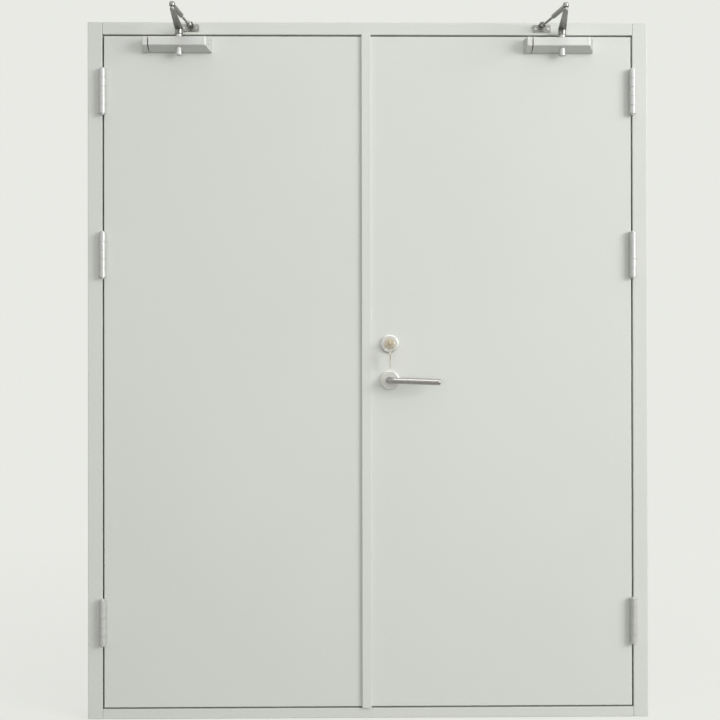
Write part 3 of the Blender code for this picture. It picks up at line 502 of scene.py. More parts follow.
def add_screw(target, place, radius, dome, sunk, drive="cross"):
    """A screw head in its seat: a low dome with a cross or a hexagon sunk in it."""
    recess = radius * 0.54
    floor = dome - min(sunk * 0.75, radius * 0.45)
    profile = [(0.0, -sunk), (radius, -sunk), (radius, 0.0), (radius * 0.94, dome * 0.6)]
    profile += [(radius * 0.78, dome * 0.92), (recess, dome), (recess * 0.8, floor), (0.0, floor)]
    shell = turned(profile, 24)
    for vert in shell.verts:
        distance = math.hypot(vert.co.x, vert.co.y)
        if WELD < distance < recess * 1.01 and vert.co.z > -sunk + WELD:
            angle = math.atan2(vert.co.y, vert.co.x)
            if drive == "cross":
                share = 0.34 + 0.66 * abs(math.cos(2 * angle)) ** 1.5
            else:
                share = 0.866 / math.cos((angle + math.pi / 6) % (math.pi / 3) - math.pi / 6)
            vert.co.x *= share
            vert.co.y *= share
    absorb(target, shell, place, 1)


# Finishes


def add_node(tree, kind, values=None, **options):
    """A shader node with its options; values gives each input a number, a colour or a link."""
    node = tree.nodes.new("ShaderNode" + kind)
    for name, option in options.items():
        setattr(node, name, option)
    for name, value in (values or {}).items():
        if isinstance(value, bpy.types.NodeSocket):
            tree.links.new(value, node.inputs[name])
        else:
            node.inputs[name].default_value = value
    return node


def calculated(tree, operation, first, second):
    return add_node(tree, "Math", {0: first, 1: second}, operation=operation).outputs[0]


def map_range(tree, value, from_low, from_high, to_low, to_high):
    names = ("Value", "From Min", "From Max", "To Min", "To Max")
    numbers = (value, from_low, from_high, to_low, to_high)
    return add_node(tree, "MapRange", dict(zip(names, numbers))).outputs["Result"]


class Finish:
    """A Principled material under construction, with short calls for the nodes that finishes share."""

    def __init__(self, name, colour, roughness, metallic=0.0):
        material = bpy.data.materials.new(name)
        material.use_nodes = True
        self.tree = material.node_tree
        self.colour = Vector(colour)
        self.inputs = self.tree.nodes["Principled BSDF"].inputs
        self.inputs["Base Color"].default_value = (*colour, 1.0)
        self.inputs["Roughness"].default_value = roughness
        self.inputs["Metallic"].default_value = metallic
        self.place = add_node(self.tree, "TexCoord").outputs["Object"]
        self.flat = self.mapped()
        self.normal = None

    def mapped(self, scale=(1, 1, 1), centre=(0, 0, 0)):
        """Object coordinates about a centre, stretched."""
        shift = [-c * s for c, s in zip(centre, scale)]
        values = {"Vector": self.place, "Scale": scale, "Location": shift}
        return add_node(self.tree, "Mapping", values).outputs["Vector"]

    def noise(self, scale, detail=2.0, roughness=0.5, vector=None):
        values = {"Vector": vector or self.flat, "Scale": scale, "Detail": detail, "Roughness": roughness}
        return add_node(self.tree, "TexNoise", values).outputs["Fac"]

    def spread(self, value, low, high):
        """A texture's value spread between two numbers."""
        return map_range(self.tree, value, 0.3, 0.7, low, high)

    def tone(self, value, low, high):
        """Vary the base colour between two shares of itself; a second call multiplies the first."""
        socket = self.inputs["Base Color"]
        base = Vector((1, 1, 1)) if socket.is_linked else self.colour
        values = {0: self.spread(value, 0.0, 1.0), 6: (*(base * low), 1.0), 7: (*(base * high), 1.0)}
        result = add_node(self.tree, "Mix", values, data_type="RGBA").outputs[2]
        if socket.is_linked:
            values = {0: 1.0, 6: socket.links[0].from_socket, 7: result}
            result = add_node(self.tree, "Mix", values, data_type="RGBA", blend_type="MULTIPLY").outputs[2]
        self.tree.links.new(result, socket)

    def rough(self, value, low, high):
        self.tree.links.new(self.spread(value, low, high), self.inputs["Roughness"])

    def relief(self, height, distance):
        """Add a layer of bump on the ones made before."""
        values = {"Distance": distance, "Height": height}
        if self.normal:
            values["Normal"] = self.normal
        self.normal = add_node(self.tree, "Bump", values).outputs["Normal"]
        self.tree.links.new(self.normal, self.inputs["Normal"])


def powder_coat(name, colour):
    """Satin powder coat on sheet steel: orange peel, slow waves and a faint drift in tone."""
    paint = bpy.context.scene.fire_door_paint
    level = paint.gloss_roughness
    finish = Finish(name, colour, level)
    finish.tone(finish.noise(1.1, 3.0), 0.985, 1.012)
    finish.tone(finish.noise(420.0), 0.990, 1.006)
    finish.rough(finish.noise(9.0, 4.0), level - 0.05, level + 0.05)
    finish.relief(finish.noise(1.6, 1.0), paint.wave_depth)
    finish.relief(finish.noise(1 / paint.peel_size, 1.5), paint.peel_depth)


def silver_enamel(name, colour):
    """Silver enamel on a cast housing, with a fine metallic grain."""
    finish = Finish(name, colour, 0.50, 0.60)
    finish.tone(finish.noise(1600.0), 0.95, 1.04)
    finish.tone(finish.noise(12.0, 3.0), 0.975, 1.015)
    finish.rough(finish.noise(30.0, 3.0), 0.45, 0.56)
    finish.relief(finish.noise(700.0), 0.00002)


def brushed_metal(name, colour, roughness, grain, relief=0.00002, metallic=1.0):
    """Metal with fine lines: grain is how many lines a metre there are along each axis."""
    finish = Finish(name, colour, roughness, metallic)
    lines = finish.noise(1.0, 3.0, 0.6, finish.mapped(grain))
    finish.tone(lines, 0.92, 1.04)
    finish.tone(finish.noise(55.0, 3.0), 0.95, 1.02)
    finish.rough(lines, roughness - 0.05, roughness + 0.07)
    finish.relief(lines, relief)


def ring_brushed_metal(name, colour, roughness, height):
    """Metal with fine lines in circles about a lock axis along Y at that height."""
    finish = Finish(name, colour, roughness, 1.0)
    across = finish.mapped((1, 0, 1), (LOCK_X, 0, height))
    distance = add_node(finish.tree, "VectorMath", {0: across}, operation="LENGTH").outputs["Value"]
    values = {"W": distance, "Scale": 2600.0, "Detail": 2.0}
    lines = add_node(finish.tree, "TexNoise", values, noise_dimensions="1D").outputs["Fac"]
    finish.tone(lines, 0.93, 1.04)
    finish.tone(finish.noise(60.0, 3.0), 0.96, 1.02)
    finish.rough(lines, roughness - 0.04, roughness + 0.06)
    finish.relief(lines, 0.00001)


def plated_steel(name, colour, roughness):
    """Zinc plated steel, clouded and lightly scuffed."""
    finish = Finish(name, colour, roughness, 1.0)
    finish.tone(finish.noise(90.0, 5.0), 0.88, 1.05)
    finish.tone(finish.noise(700.0, 3.0), 0.95, 1.03)
    finish.rough(finish.noise(140.0, 4.0), roughness - 0.08, roughness + 0.12)
    finish.relief(finish.noise(900.0, 3.0), 0.00002)


def black_rubber(name, colour):
    """Black smoke seal: matte, with a light bloom."""
    finish = Finish(name, colour, 0.72)
    finish.tone(finish.noise(40.0, 4.0), 0.8, 1.5)
    finish.rough(finish.noise(300.0, 3.0), 0.62, 0.85)
    finish.relief(finish.noise(1500.0), 0.00003)


SLOT_FINISHES = {
    "seal_rubber": ("smoke_seal_rubber",),
    "hinge_steel": ("hinge_turned_steel", "screw_plated_steel"),
    "closer_paint": ("closer_enamel", "screw_plated_steel"),
    "arm_steel": ("arm_plated_steel", "screw_plated_steel"),
    "key_brass": ("nickel_brass",),
}


def finish_named(name):
    """The material of that name, made the first time it is asked for."""
    if name not in bpy.data.materials:
        paint, metal = bpy.context.scene.fire_door_paint, bpy.context.scene.fire_door_metal
        steel, satin = metal.stainless_colour, metal.stainless_roughness
        # The rosettes take the lighter stainless, whose colour holds a painted reflection
        rosette_with_painted_reflection = (ring_brushed_metal, metal.rosette_colour_with_painted_reflection, satin + 0.2)
        turned_lines, zinc_share = (60, 60, 2600), metal.hinge_metallic
        make, *values = {
            "leaf_powder_coat": (powder_coat, paint.leaf_colour),
            "frame_powder_coat": (powder_coat, paint.frame_colour),
            "closer_enamel": (silver_enamel, paint.closer_colour),
            "arm_plated_steel": (plated_steel, metal.arm_colour, 0.34),
            "screw_plated_steel": (plated_steel, metal.screw_colour, 0.30),
            "hinge_turned_steel": (
                brushed_metal, metal.hinge_colour, metal.hinge_roughness, turned_lines, 0.00002, zinc_share
            ),
            "plate_stainless": (brushed_metal, steel, satin + 0.06, (1800, 1800, 25)),
            "lever_stainless": (brushed_metal, steel, satin, (30, 1700, 1700), 0.000008),
            "front_lever_rose_stainless": (*rosette_with_painted_reflection, LEVER_Z),
            "back_lever_rose_stainless": (*rosette_with_painted_reflection, LEVER_Z),
            "front_cylinder_rose_stainless": (*rosette_with_painted_reflection, CYLINDER_Z),
            "back_cylinder_rose_stainless": (*rosette_with_painted_reflection, CYLINDER_Z),
            "cylinder_brass": (ring_brushed_metal, metal.brass_colour, 0.26, CYLINDER_Z),
            "ring_stainless": (brushed_metal, steel, 0.2, (900, 900, 900)),
            "nickel_brass": (brushed_metal, metal.brass_colour, 0.27, (900, 60, 900)),
            "smoke_seal_rubber": (black_rubber, (0.022, 0.022, 0.023)),
        }[name]
        make(name, *values)
    return bpy.data.materials[name]


def dress(names, finish):
    """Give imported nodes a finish."""
    for name in names:
        for slot in frame["nodes"][name].material_slots:
            slot.material = finish_named(finish)


# Frame and leaves


def ribbed_profile(low, high, base, face):
    """A flat strip with three ribs, as (across, depth) points."""
    step = (high - low) / 3
    points = [(low, base), (high, base)]
    for rib in range(3):
        middle = high - step * (rib + 0.5)
        points.append((middle + step * 0.5, (base + face) / 2))
        points += [(middle + step * 0.28, face), (middle - step * 0.28, face)]
    points.append((low, (base + face) / 2))
    return points


class FIRE_DOOR_OT_frame(Operator):
    """Paint the jambs, head and threshold, and make the ribbed smoke seals in their stops"""

    bl_idname = "fire_door.frame"
    bl_label = "Frame and seals"

    def execute(self, context):
        dress(("left_jamb", "right_jamb", "head", "threshold"), "frame_powder_coat")
        for part in ("left", "right", "head"):
            low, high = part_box(part + "_seal")
            middle = (low + high) / 2
            if part == "head":
                outline = [(y, z) for z, y in ribbed_profile(low.z, high.z, high.y, low.y)]
                shell, place = prism(outline, high.x - low.x), at(middle.x, 0, 0) @ ACROSS_X
            else:
                outline = ribbed_profile(low.x, high.x, high.y, low.y)
                shell, place = prism(outline, high.z - low.z), at(0, 0, middle.z)
            target = bmesh.new()
            absorb(target, shell, place)
            finish_piece(part + "_ribbed_seal", target, "frame", "seal_rubber", part + "_seal")
        return {"FINISHED"}


class FIRE_DOOR_OT_leaves(Operator):
    """Paint the two leaves, their back skins and the cover strip"""

    bl_idname = "fire_door.leaves"
    bl_label = "Leaves and cover strip"

    def execute(self, context):
        names = [side + part for side in SIDES for part in ("_leaf_panel", "_leaf_back_skin")]
        dress(["cover_strip", *names], "leaf_powder_coat")
        return {"FINISHED"}


# Hinges


def hinge_plate_outline(step, root, half, middles, finger):
    """The stamped plate as (Y, Z) points from the barrel's axis, one finger for each knuckle."""
    points = [(step, half), (step + PLATE_DEPTH, half), (step + PLATE_DEPTH, -half), (step, -half)]
    for middle in middles:
        low, high = middle - finger, middle + finger
        points += [(step, low), (root, low), (root, high), (step, high)]
    return points


def add_pin_tip(target, axis, half, direction):
    """A low button beyond one end of the barrel."""
    crown = PIN_TIP_ROUND
    end = half + PIN_TIP_LENGTH
    tip = [(0.0, end)] + arc((PIN_TIP_RADIUS - crown, end - crown), crown, 90, 0, 5)
    tip += [(PIN_TIP_RADIUS, half - PIN_TIP_SUNK), (0.0, half - PIN_TIP_SUNK)]
    shell = turned([(radius, direction * height) for radius, height in tip], hardware().round_segments)
    absorb(target, shell, at(*axis))


def build_hinge_half(hinge, part, body, axis, size, first, outward):
    """One half of a hinge: its knuckles, its plate with screws and, on the frame's half, the pin's tips."""
    radius, half = size
    pitch = (2 * half + KNUCKLE_GAP) / KNUCKLE_COUNT
    length = pitch - KNUCKLE_GAP
    middles = [(index - (KNUCKLE_COUNT - 1) / 2) * pitch for index in range(first, KNUCKLE_COUNT, 2)]
    rim = hardware().knuckle_round
    target = bmesh.new()
    for middle in middles:
        absorb(target, post(radius, middle - length / 2, middle + length / 2, rim, rim, 3), at(*axis))
    if part == "frame":
        for direction in (1, -1):
            add_pin_tip(target, axis, half, direction)
    step = radius + PLATE_STEP_BACK
    outline = hinge_plate_outline(step, radius * 0.5, half, middles, (length - PLATE_STEP_BACK) / 2)
    spots = [(step + PLATE_DEPTH / 2 + shift, share * half) for share, shift in PLATE_SCREWS]
    shell = sheet(outline, screw_holes(spots, PLATE_SCREW_RADIUS), PLATE_THICKNESS)
    middle_x = axis.x + outward * (PLATE_NEAR + PLATE_THICKNESS / 2)
    absorb(target, shell, at(middle_x, axis.y, axis.z) @ ACROSS_X)
    for spot_y, spot_z in spots:
        place = at(axis.x + outward * PLATE_NEAR, axis.y + spot_y, axis.z + spot_z)
        place = place @ rotation(-90 * outward, "Y")
        add_screw(target, place, PLATE_SCREW_RADIUS, PLATE_SCREW_DOME, PLATE_THICKNESS - 0.0001)
    finish_piece(f"{hinge}_{part}_knuckles", target, body, "hinge_steel", f"{hinge}_{part}_half")


class FIRE_DOOR_OT_hinges(Operator):
    """Make the six barrel hinges with rounded knuckles, pin tips, plates and screws"""

    bl_idname = "fire_door.hinges"
    bl_label = "Hinges"

    def execute(self, context):
        for side, sign in SIDES.items():
            pivot = JOINTS[side + "_leaf_hinge"]
            for level in ("bottom", "middle", "top"):
                hinge = f"{side}_{level}_hinge"
                low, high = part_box(hinge + "_frame_half")
                axis = Vector((pivot.x, pivot.y, (low.z + high.z) / 2))
                size = (pivot.y - low.y, (high.z - low.z) / 2 - PIN_TIP_LENGTH)
                build_hinge_half(hinge, "frame", "frame", axis, size, 0, sign)
                build_hinge_half(hinge, "leaf", side + "_leaf", axis, size, 1, -sign)
        return {"FINISHED"}


# Closers


def housing_outline(top):
    """The housing seen along X, as (Y, Z) points: an upright face over a slanted lower face."""
    back, face, foot = FRONT - SEAT, FRONT - HOUSING_DEPTH, FRONT - HOUSING_BOTTOM_DEPTH
    bottom = top - HOUSING_HEIGHT
    return [(back, top), (face, top), (face, top - HOUSING_FACE), (foot, bottom), (back, bottom)]


def build_housing(side, body):
    """The closer's body with its two bosses; returns the height of its top."""
    node = side + "_closer_body"
    low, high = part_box(node)
    top = high.z - TOP_BOSS_RISE
    spindle = JOINTS[side + "_main_arm_turn"]
    shell = prism(housing_outline(top), high.x - low.x)
    rims = []
    for edge in shell.edges:
        first, second = (vert.co for vert in edge.verts)
        # Long edges lie along the prism's Z, and its X is the depth from the leaf
        if abs(first.z - second.z) > 0.01 and first.x < FRONT - NEAR_LEAF:
            rims.append(edge)
    round_edges(shell, hardware().housing_round, 4, edges=rims)
    target = bmesh.new()
    absorb(target, shell, at((low.x + high.x) / 2, 0, 0) @ ACROSS_X)
    place, seam = at(spindle.x, spindle.y, 0), top - BOSS_SEAM_DROP
    absorb(target, post(BOSS_RADIUS, low.z, seam, BOSS_FOOT_ROUND, BOSS_SEAM_ROUND), place)
    absorb(target, post(BOSS_RADIUS, seam, high.z, BOSS_SEAM_ROUND, SOFT_RIM), place)
    finish_piece(side + "_closer_housing", target, body, "closer_paint", node, ["closer_enamel"])
    return top


def build_cover(side, word, top, direction, body):
    """A cover on one end of the housing, with its front corner slanted back."""
    node = f"{side}_closer_{word}_cover"
    low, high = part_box(node)
    end_x, seam_x = (high.x, low.x) if direction > 0 else (low.x, high.x - CAP_GROOVE)
    shell = prism(housing_outline(top), abs(end_x - seam_x))
    bmesh.ops.transform(shell, matrix=at((end_x + seam_x) / 2, 0, 0) @ ACROSS_X, verts=shell.verts)
    lean = math.atan2(COVER_SLANT[direction], HOUSING_DEPTH - COVER_STRAIGHT)
    everything = shell.verts[:] + shell.edges[:] + shell.faces[:]
    corner = (end_x, FRONT - COVER_STRAIGHT, top)
    outward = (direction * math.cos(lean), -math.sin(lean), 0)
    bmesh.ops.bisect_plane(shell, geom=everything, plane_co=corner, plane_no=outward, clear_outer=True)
    bmesh.ops.edgeloop_fill(shell, edges=[edge for edge in shell.edges if edge.is_boundary])
    bmesh.ops.recalc_face_normals(shell, faces=shell.faces)
    rims = []
    for edge in shell.edges:
        on_leaf = all(vert.co.y > FRONT - NEAR_LEAF for vert in edge.verts)
        on_seam = all(abs(vert.co.x - seam_x) < 0.0005 for vert in edge.verts)
        if not on_leaf and not on_seam:
            rims.append(edge)
    round_edges(shell, CAP_ROUND[direction], 4, edges=rims)
    target = bmesh.new()
    absorb(target, shell)
    if direction < 0:
        neck_low = (seam_x - CAP_GROOVE, FRONT - HOUSING_BOTTOM_DEPTH, top - HOUSING_HEIGHT + CAP_GROOVE)
        absorb(target, block(neck_low, (high.x, FRONT - SEAT, top - CAP_GROOVE)))
    else:
        out = Matrix.Rotation(-lean, 4, "Z") @ ALONG_X
        reach = (HOUSING_DEPTH + COVER_STRAIGHT) / 2
        spot_x = end_x - (reach - COVER_STRAIGHT) * math.tan(lean)
        for drop in COVER_SCREW_DROPS:
            place = at(spot_x, FRONT - reach, top - drop) @ out
            add_screw(target, place, COVER_SCREW_RADIUS, 0.0007, 0.002, "hexagon")
    finish_piece(f"{side}_closer_{word}_end", target, body, "closer_paint", node)


class FIRE_DOOR_OT_closers(Operator):
    """Make the two closer housings, their end covers and their bosses"""

    bl_idname = "fire_door.closers"
    bl_label = "Closers"

    def execute(self, context):
        for side, sign in SIDES.items():
            body = side + "_leaf"
            top = build_housing(side, body)
            for direction in (-1, 1):
                build_cover(side, "outer" if direction == sign else "inner", top, direction, body)
        return {"FINISHED"}


# Arms and shoes


def elbow_point(spindle, shoe):
    """Where the two arms of a closer meet, seen from above."""
    start = Vector((spindle.x, spindle.y))
    span = Vector((shoe.x, shoe.y)) - start
    distance = span.length
    along = (MAIN_ARM_LENGTH**2 - FOREARM_LENGTH**2 + distance**2) / (2 * distance)
    height = math.sqrt(MAIN_ARM_LENGTH**2 - along**2)
    foot = start + span * (along / distance)
    across = Vector((-span.y, span.x)) * (height / distance)
    return min((foot + across, foot - across), key=lambda point: point.y)


def facing(start, end):
    return Matrix.Rotation(math.atan2(end.y - start.y, end.x - start.x), 4, "Z")


def build_main_arm(side, spindle, elbow):
    """The tapered arm with its hub, the hub's screw and the rivet at the elbow."""
    node = side + "_main_arm"
    arm_low = spindle.z - MAIN_ARM_THICKNESS / 2
    arm_high = spindle.z + MAIN_ARM_THICKNESS / 2
    hub_high = arm_high + HUB_RISE
    target = bmesh.new()
    outline = arc((0, 0), MAIN_ARM_ROOT, 90, 270, 16) + arc((MAIN_ARM_LENGTH, 0), MAIN_ARM_TIP, -90, 90, 16)
    shell = round_edges(prism(outline, MAIN_ARM_THICKNESS), hardware().arm_round, 3, 50)
    absorb(target, shell, at(*spindle) @ facing(spindle, elbow))
    hub = post(MAIN_ARM_HUB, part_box(node)[0].z, hub_high, SOFT_RIM, FINE_RIM)
    absorb(target, hub, at(spindle.x, spindle.y, 0))
    add_screw(target, at(spindle.x, spindle.y, hub_high), HUB_SCREW_RADIUS, 0.0006, 0.002, "hexagon")
    tip = at(elbow.x, elbow.y, 0)
    stub_high = arm_high + (ARM_LAYER_GAP - STUB_GAP) / 2
    absorb(target, post(STUB_RADIUS, arm_high - STUB_ROOT, stub_high, FINE_RIM, FINE_RIM), tip)
    rivet = post(RIVET_RADIUS, arm_low - RIVET_HEIGHT, arm_low + 0.001, RIVET_ROUND, FINE_RIM)
    absorb(target, rivet, tip)
    finish_piece(side + "_closer_arm", target, node, "arm_steel", node)


def thread_rings(start, end, radius, pitch):
    """Rings of a ridged rod, each a distance along it and a radius."""
    count = 2 * int((end - start) / pitch)
    spots = [start + (end - start) * index / count for index in range(count + 1)]
    return [(along, radius * (1.0 if index % 2 else 0.86)) for index, along in enumerate(spots)]


def bar_rings(start, end, radius, rim):
    """Rings of a plain round bar with rounded rims."""
    rings = [(start, radius - rim), (start + rim * 0.3, radius - rim * 0.3), (start + rim, radius)]
    return rings + [(end - rim, radius), (end - rim * 0.3, radius - rim * 0.3), (end, radius - rim)]


def build_forearm(side, shoe, elbow):
    """The forearm: eye, collar, threaded rod, lock nut, sleeve and the elbow's eye with its nut."""
    node = side + "_forearm"
    low_z = shoe.z - EYE_THICKNESS / 2
    high_z = shoe.z + EYE_THICKNESS / 2
    line = at(*shoe) @ facing(shoe, elbow)
    target = bmesh.new()
    rim = SOFT_RIM
    bore = SHOE_PIN + PIN_PLAY
    profile = [(bore, low_z), (bore, high_z), *rounded_side(EYE_RADIUS, low_z, high_z, rim, rim)]
    absorb(target, turned(profile, hardware().round_segments, True), at(shoe.x, shoe.y, 0))
    rod_start = EYE_RADIUS - ROD_IN_EYE
    rod_end = FOREARM_LENGTH - EYE_RADIUS / 2
    sleeve_start = rod_end - SLEEVE_LENGTH
    thread_start, thread_end = rod_start + COLLAR_LENGTH - 0.001, sleeve_start + 0.002
    for rings, segments in (
        (bar_rings(rod_start, rod_start + COLLAR_LENGTH, COLLAR_RADIUS, rim), 24),
        (thread_rings(thread_start, thread_end, ROD_RADIUS, hardware().thread_pitch), 20),
        (bar_rings(sleeve_start, rod_end, SLEEVE_RADIUS, SLEEVE_ROUND), 32),
    ):
        stations = [(line @ at(along, 0, 0) @ ALONG_X, radius) for along, radius in rings]
        absorb(target, swept(stations, segments))
    absorb(target, hexagon(*LOCK_NUT), line @ at(sleeve_start, 0, 0) @ ALONG_X, 1)
    tip = at(elbow.x, elbow.y, 0)
    absorb(target, post(EYE_RADIUS, low_z, high_z, rim, rim), tip)
    stub_low = low_z - (ARM_LAYER_GAP - STUB_GAP) / 2
    absorb(target, post(STUB_RADIUS, stub_low, low_z + STUB_ROOT, FINE_RIM, FINE_RIM), tip)
    nut_low = high_z - NUT_SUNK
    absorb(target, hexagon(NUT_RADIUS, nut_low, nut_low + NUT_HEIGHT, NUT_CHAMFER), tip)
    absorb(target, post(STUB_TOP_RADIUS, high_z, high_z + NUT_HEIGHT, FINE_RIM, NUT_CHAMFER), tip)
    finish_piece(side + "_closer_forearm", target, node, "arm_steel", node)


def build_shoe(side, shoe):
    """The foot on the head with its screws, the tongue over the forearm's eye, and the pin."""
    node = side + "_closer_shoe"
    low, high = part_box(node)
    foot_front = FRONT - SEAT - SHOE_PLATE
    foot_low = high.z - SHOE_HEIGHT
    corner = SHOE_CORNER
    near_x, far_x, near_z, far_z = low.x + corner, high.x - corner, foot_low + corner, high.z - corner
    outline = []
    for index, centre in enumerate(((far_x, far_z), (near_x, far_z), (near_x, near_z), (far_x, near_z))):
        outline += arc(centre, corner, 90 * index, 90 * index + 90, 5)
    spots = [(shoe.x + way * SHOE_SCREW_REACH, foot_low + SHOE_SCREW_RISE) for way in (-1, 1)]
    target = bmesh.new()
    shell = sheet(outline, screw_holes(spots, SHOE_SCREW_RADIUS), SHOE_PLATE, 0.0005)
    absorb(target, shell, at(0, FRONT - SEAT - SHOE_PLATE / 2, 0) @ OUT_FRONT)
    for spot_x, spot_z in spots:
        place = at(spot_x, foot_front, spot_z) @ OUT_FRONT
        add_screw(target, place, SHOE_SCREW_RADIUS, 0.0007, SHOE_PLATE - 0.0002)
    half = TONGUE_WIDTH / 2
    reach = foot_front + SHOE_PLATE / 2 - shoe.y
    shell = prism(arc((0, 0), half, 90, 270, 16) + [(reach, -half), (reach, half)], TONGUE_THICKNESS)
    round_edges(shell, SOFT_RIM, 2, 50)
    absorb(target, shell, at(shoe.x, shoe.y, high.z - TONGUE_THICKNESS / 2) @ rotation(90, "Z"))
    pin = at(shoe.x, shoe.y, 0)
    pin_low = shoe.z - EYE_THICKNESS / 2 - SEAT
    pin_high = high.z - 0.001
    absorb(target, post(SHOE_PIN, pin_low, pin_high, 0.0006, FINE_RIM), pin, 1)
    absorb(target, post(SHOE_PIN_HEAD, pin_high, high.z + SHOE_PIN_RISE, FINE_RIM, 0.0012), pin)
    finish_piece(side + "_closer_bracket", target, "frame", "arm_steel", node)


class FIRE_DOOR_OT_arms(Operator):
    """Make the main arms, the forearms with their thread and sleeve, and the shoes on the head"""

    bl_idname = "fire_door.arms"
    bl_label = "Arms and shoes"

    def execute(self, context):
        for side in SIDES:
            spindle, shoe = JOINTS[side + "_main_arm_turn"], JOINTS[side + "_forearm_turn"]
            elbow = elbow_point(spindle, shoe)
            build_main_arm(side, spindle, elbow)
            build_forearm(side, shoe, elbow)
            build_shoe(side, shoe)
        return {"FINISHED"}


# Lock set


def build_rosette(word, part, radius, hole, height, face_y, out):
    """A round cover with a rounded rim and a fine chamfer round its hole."""
    rim = hardware().rosette_round
    top = SEAT + ROSETTE_THICKNESS
    profile = [(hole, SEAT), (hole, top - 0.0005), (hole + 0.0005, top)]
    profile += arc((radius - rim, top - rim), rim, 90, 0, 6)
    profile.append((radius, SEAT))
    target = bmesh.new()
    absorb(target, turned(profile, hardware().round_segments * 2, True), at(LOCK_X, face_y, height) @ out)
    name, node = f"{word}_{part}_rose", f"{word}_{part}_rosette"
    # Each rosette's finish is the lighter stainless with its painted reflection
    finish_piece(name, target, "right_leaf", "satin_stainless", node, [name + "_stainless"])


def lever_stations(steps=10):
    """Rings of a lever made about +Z out of the leaf, with its grip along +X."""
    stations = [(at(0, 0, 2 * SEAT), LEVER_TUBE)]
    centre = at(LEVER_BEND, 0, LEVER_STANDOFF - LEVER_BEND)
    for step in range(steps + 1):
        turn = rotation(90 * step / steps, "Y")
        stations.append((centre @ turn @ at(-LEVER_BEND, 0, 0), LEVER_TUBE))
    rim = LEVER_END_ROUND
    for along, radius in arc((LEVER_REACH - rim, LEVER_TUBE - rim), rim, 90, 0, 6):
        stations.append((at(along, 0, LEVER_STANDOFF) @ ALONG_X, radius))
    return stations


class FIRE_DOOR_OT_levers(Operator):
    """Make the two levers on their spindle and the rosettes round them"""

    bl_idname = "fire_door.levers"
    bl_label = "Levers and rosettes"

    def execute(self, context):
        droop = Matrix.Identity(4)
        droop[2][0] = -math.tan(math.radians(LEVER_DROOP_DEG))
        lock = at(LOCK_X, 0, LEVER_Z)
        half = SPINDLE_BAR / 2
        for word, face_y, out in (("front", FRONT, OUT_FRONT), ("back", LEAF_BACK, OUT_BACK)):
            build_rosette(word, "lever", LEVER_ROSETTE, LEVER_TUBE + LEVER_PLAY, LEVER_Z, face_y, out)
            build_rosette(word, "cylinder", CYLINDER_ROSETTE, CYLINDER_RADIUS + SEAT, CYLINDER_Z, face_y, out)
            target = bmesh.new()
            absorb(target, swept(lever_stations(), 40), lock @ droop @ at(0, face_y, 0) @ out)
            if word == "back":
                low, high = (-half, FRONT - SEAT, -half), (half, LEAF_BACK + ROSETTE_THICKNESS, half)
                absorb(target, block(low, high), lock)
            node, finishes = word + "_lever", ["lever_stainless"]
            finish_piece(word + "_handle", target, "lever", "satin_stainless", node, finishes, 50)
        return {"FINISHED"}


def key_outline(blade_length, cuts=()):
    """A key lying along +X: round bow about the origin, then the blade with its cuts to the tip."""
    half = KEY_BLADE_HEIGHT / 2
    open_deg = math.degrees(math.asin(half / KEY_BOW))
    points = arc((0, 0), KEY_BOW, open_deg, 360 - open_deg, 36)
    tip = KEY_BOW + blade_length
    step = KEY_CUT_STEP
    along = KEY_BOW + KEY_SHOULDER
    for depth in cuts:
        points += [(along, -half), (along + step * 0.3, -half + depth), (along + step * 0.6, -half + depth)]
        along += step
    points += [(tip - half, -half), (tip, -half * 0.3), (tip, half * 0.3), (tip - half, half)]
    return points


def build_key(name, node, bow, turn_deg, blade_length, cuts=()):
    """A flat key in the YZ plane with a hole through its bow."""
    target = bmesh.new()
    holes = [ring_points((-KEY_BOW / 2, 0), KEY_HOLE, 24)]
    shell = sheet(key_outline(blade_length, cuts), holes, KEY_THICKNESS, PLATE_CHAMFER)
    absorb(target, shell, at(*bow) @ ACROSS_X @ rotation(turn_deg, "Z"))
    finish_piece(name, target, "key", "key_brass", node)


def build_plug(place, front, plug_front):
    """The turning plug with its keyway."""
    slot_half, slot_rise = KEY_THICKNESS / 2 + SEAT, KEY_BLADE_HEIGHT / 2 + SEAT
    slot = rectangle((-slot_half, -slot_rise), (slot_half, slot_rise))
    depth = KEY_BLADE_IN_PLUG + SEAT
    target = bmesh.new()
    shell = sheet(ring_points((0, 0), PLUG_RADIUS, 48), [slot], depth, 0.0004)
    absorb(target, shell, place @ at(0, 0, plug_front - depth / 2))
    root = post(PLUG_RADIUS - 0.0002, front - PLUG_DEPTH, plug_front - depth, 0.0002, 0.0002, 1)
    absorb(target, root, place)
    finish_piece("lock_plug", target, "key", "key_brass", "cylinder_plug")


def build_keys(plug_y):
    """The key in the plug, the ring through its bow and the spare key hanging on the ring."""
    bow_y = plug_y - KEY_SHANK - KEY_BOW
    build_key("door_key", "key", (LOCK_X, bow_y, CYLINDER_Z), 0, KEY_SHANK + KEY_BLADE_IN_PLUG)
    hole_y = bow_y - KEY_BOW / 2
    rest = KEY_HOLE - RING_WIRE - SEAT
    ring_z = CYLINDER_Z - rest - RING_RADIUS
    target = bmesh.new()
    shell = turned(ring_points((RING_RADIUS, 0), RING_WIRE, 12), 64, True)
    absorb(target, shell, at(LOCK_X, hole_y, ring_z) @ OUT_FRONT)
    finish_piece("wire_ring", target, "key", "satin_stainless", "key_ring", ["ring_stainless"])
    spare = (LOCK_X, hole_y, ring_z - RING_RADIUS - rest - KEY_BOW / 2)
    build_key("hanging_key", "spare_key", spare, -90, SPARE_BLADE, SPARE_CUTS)


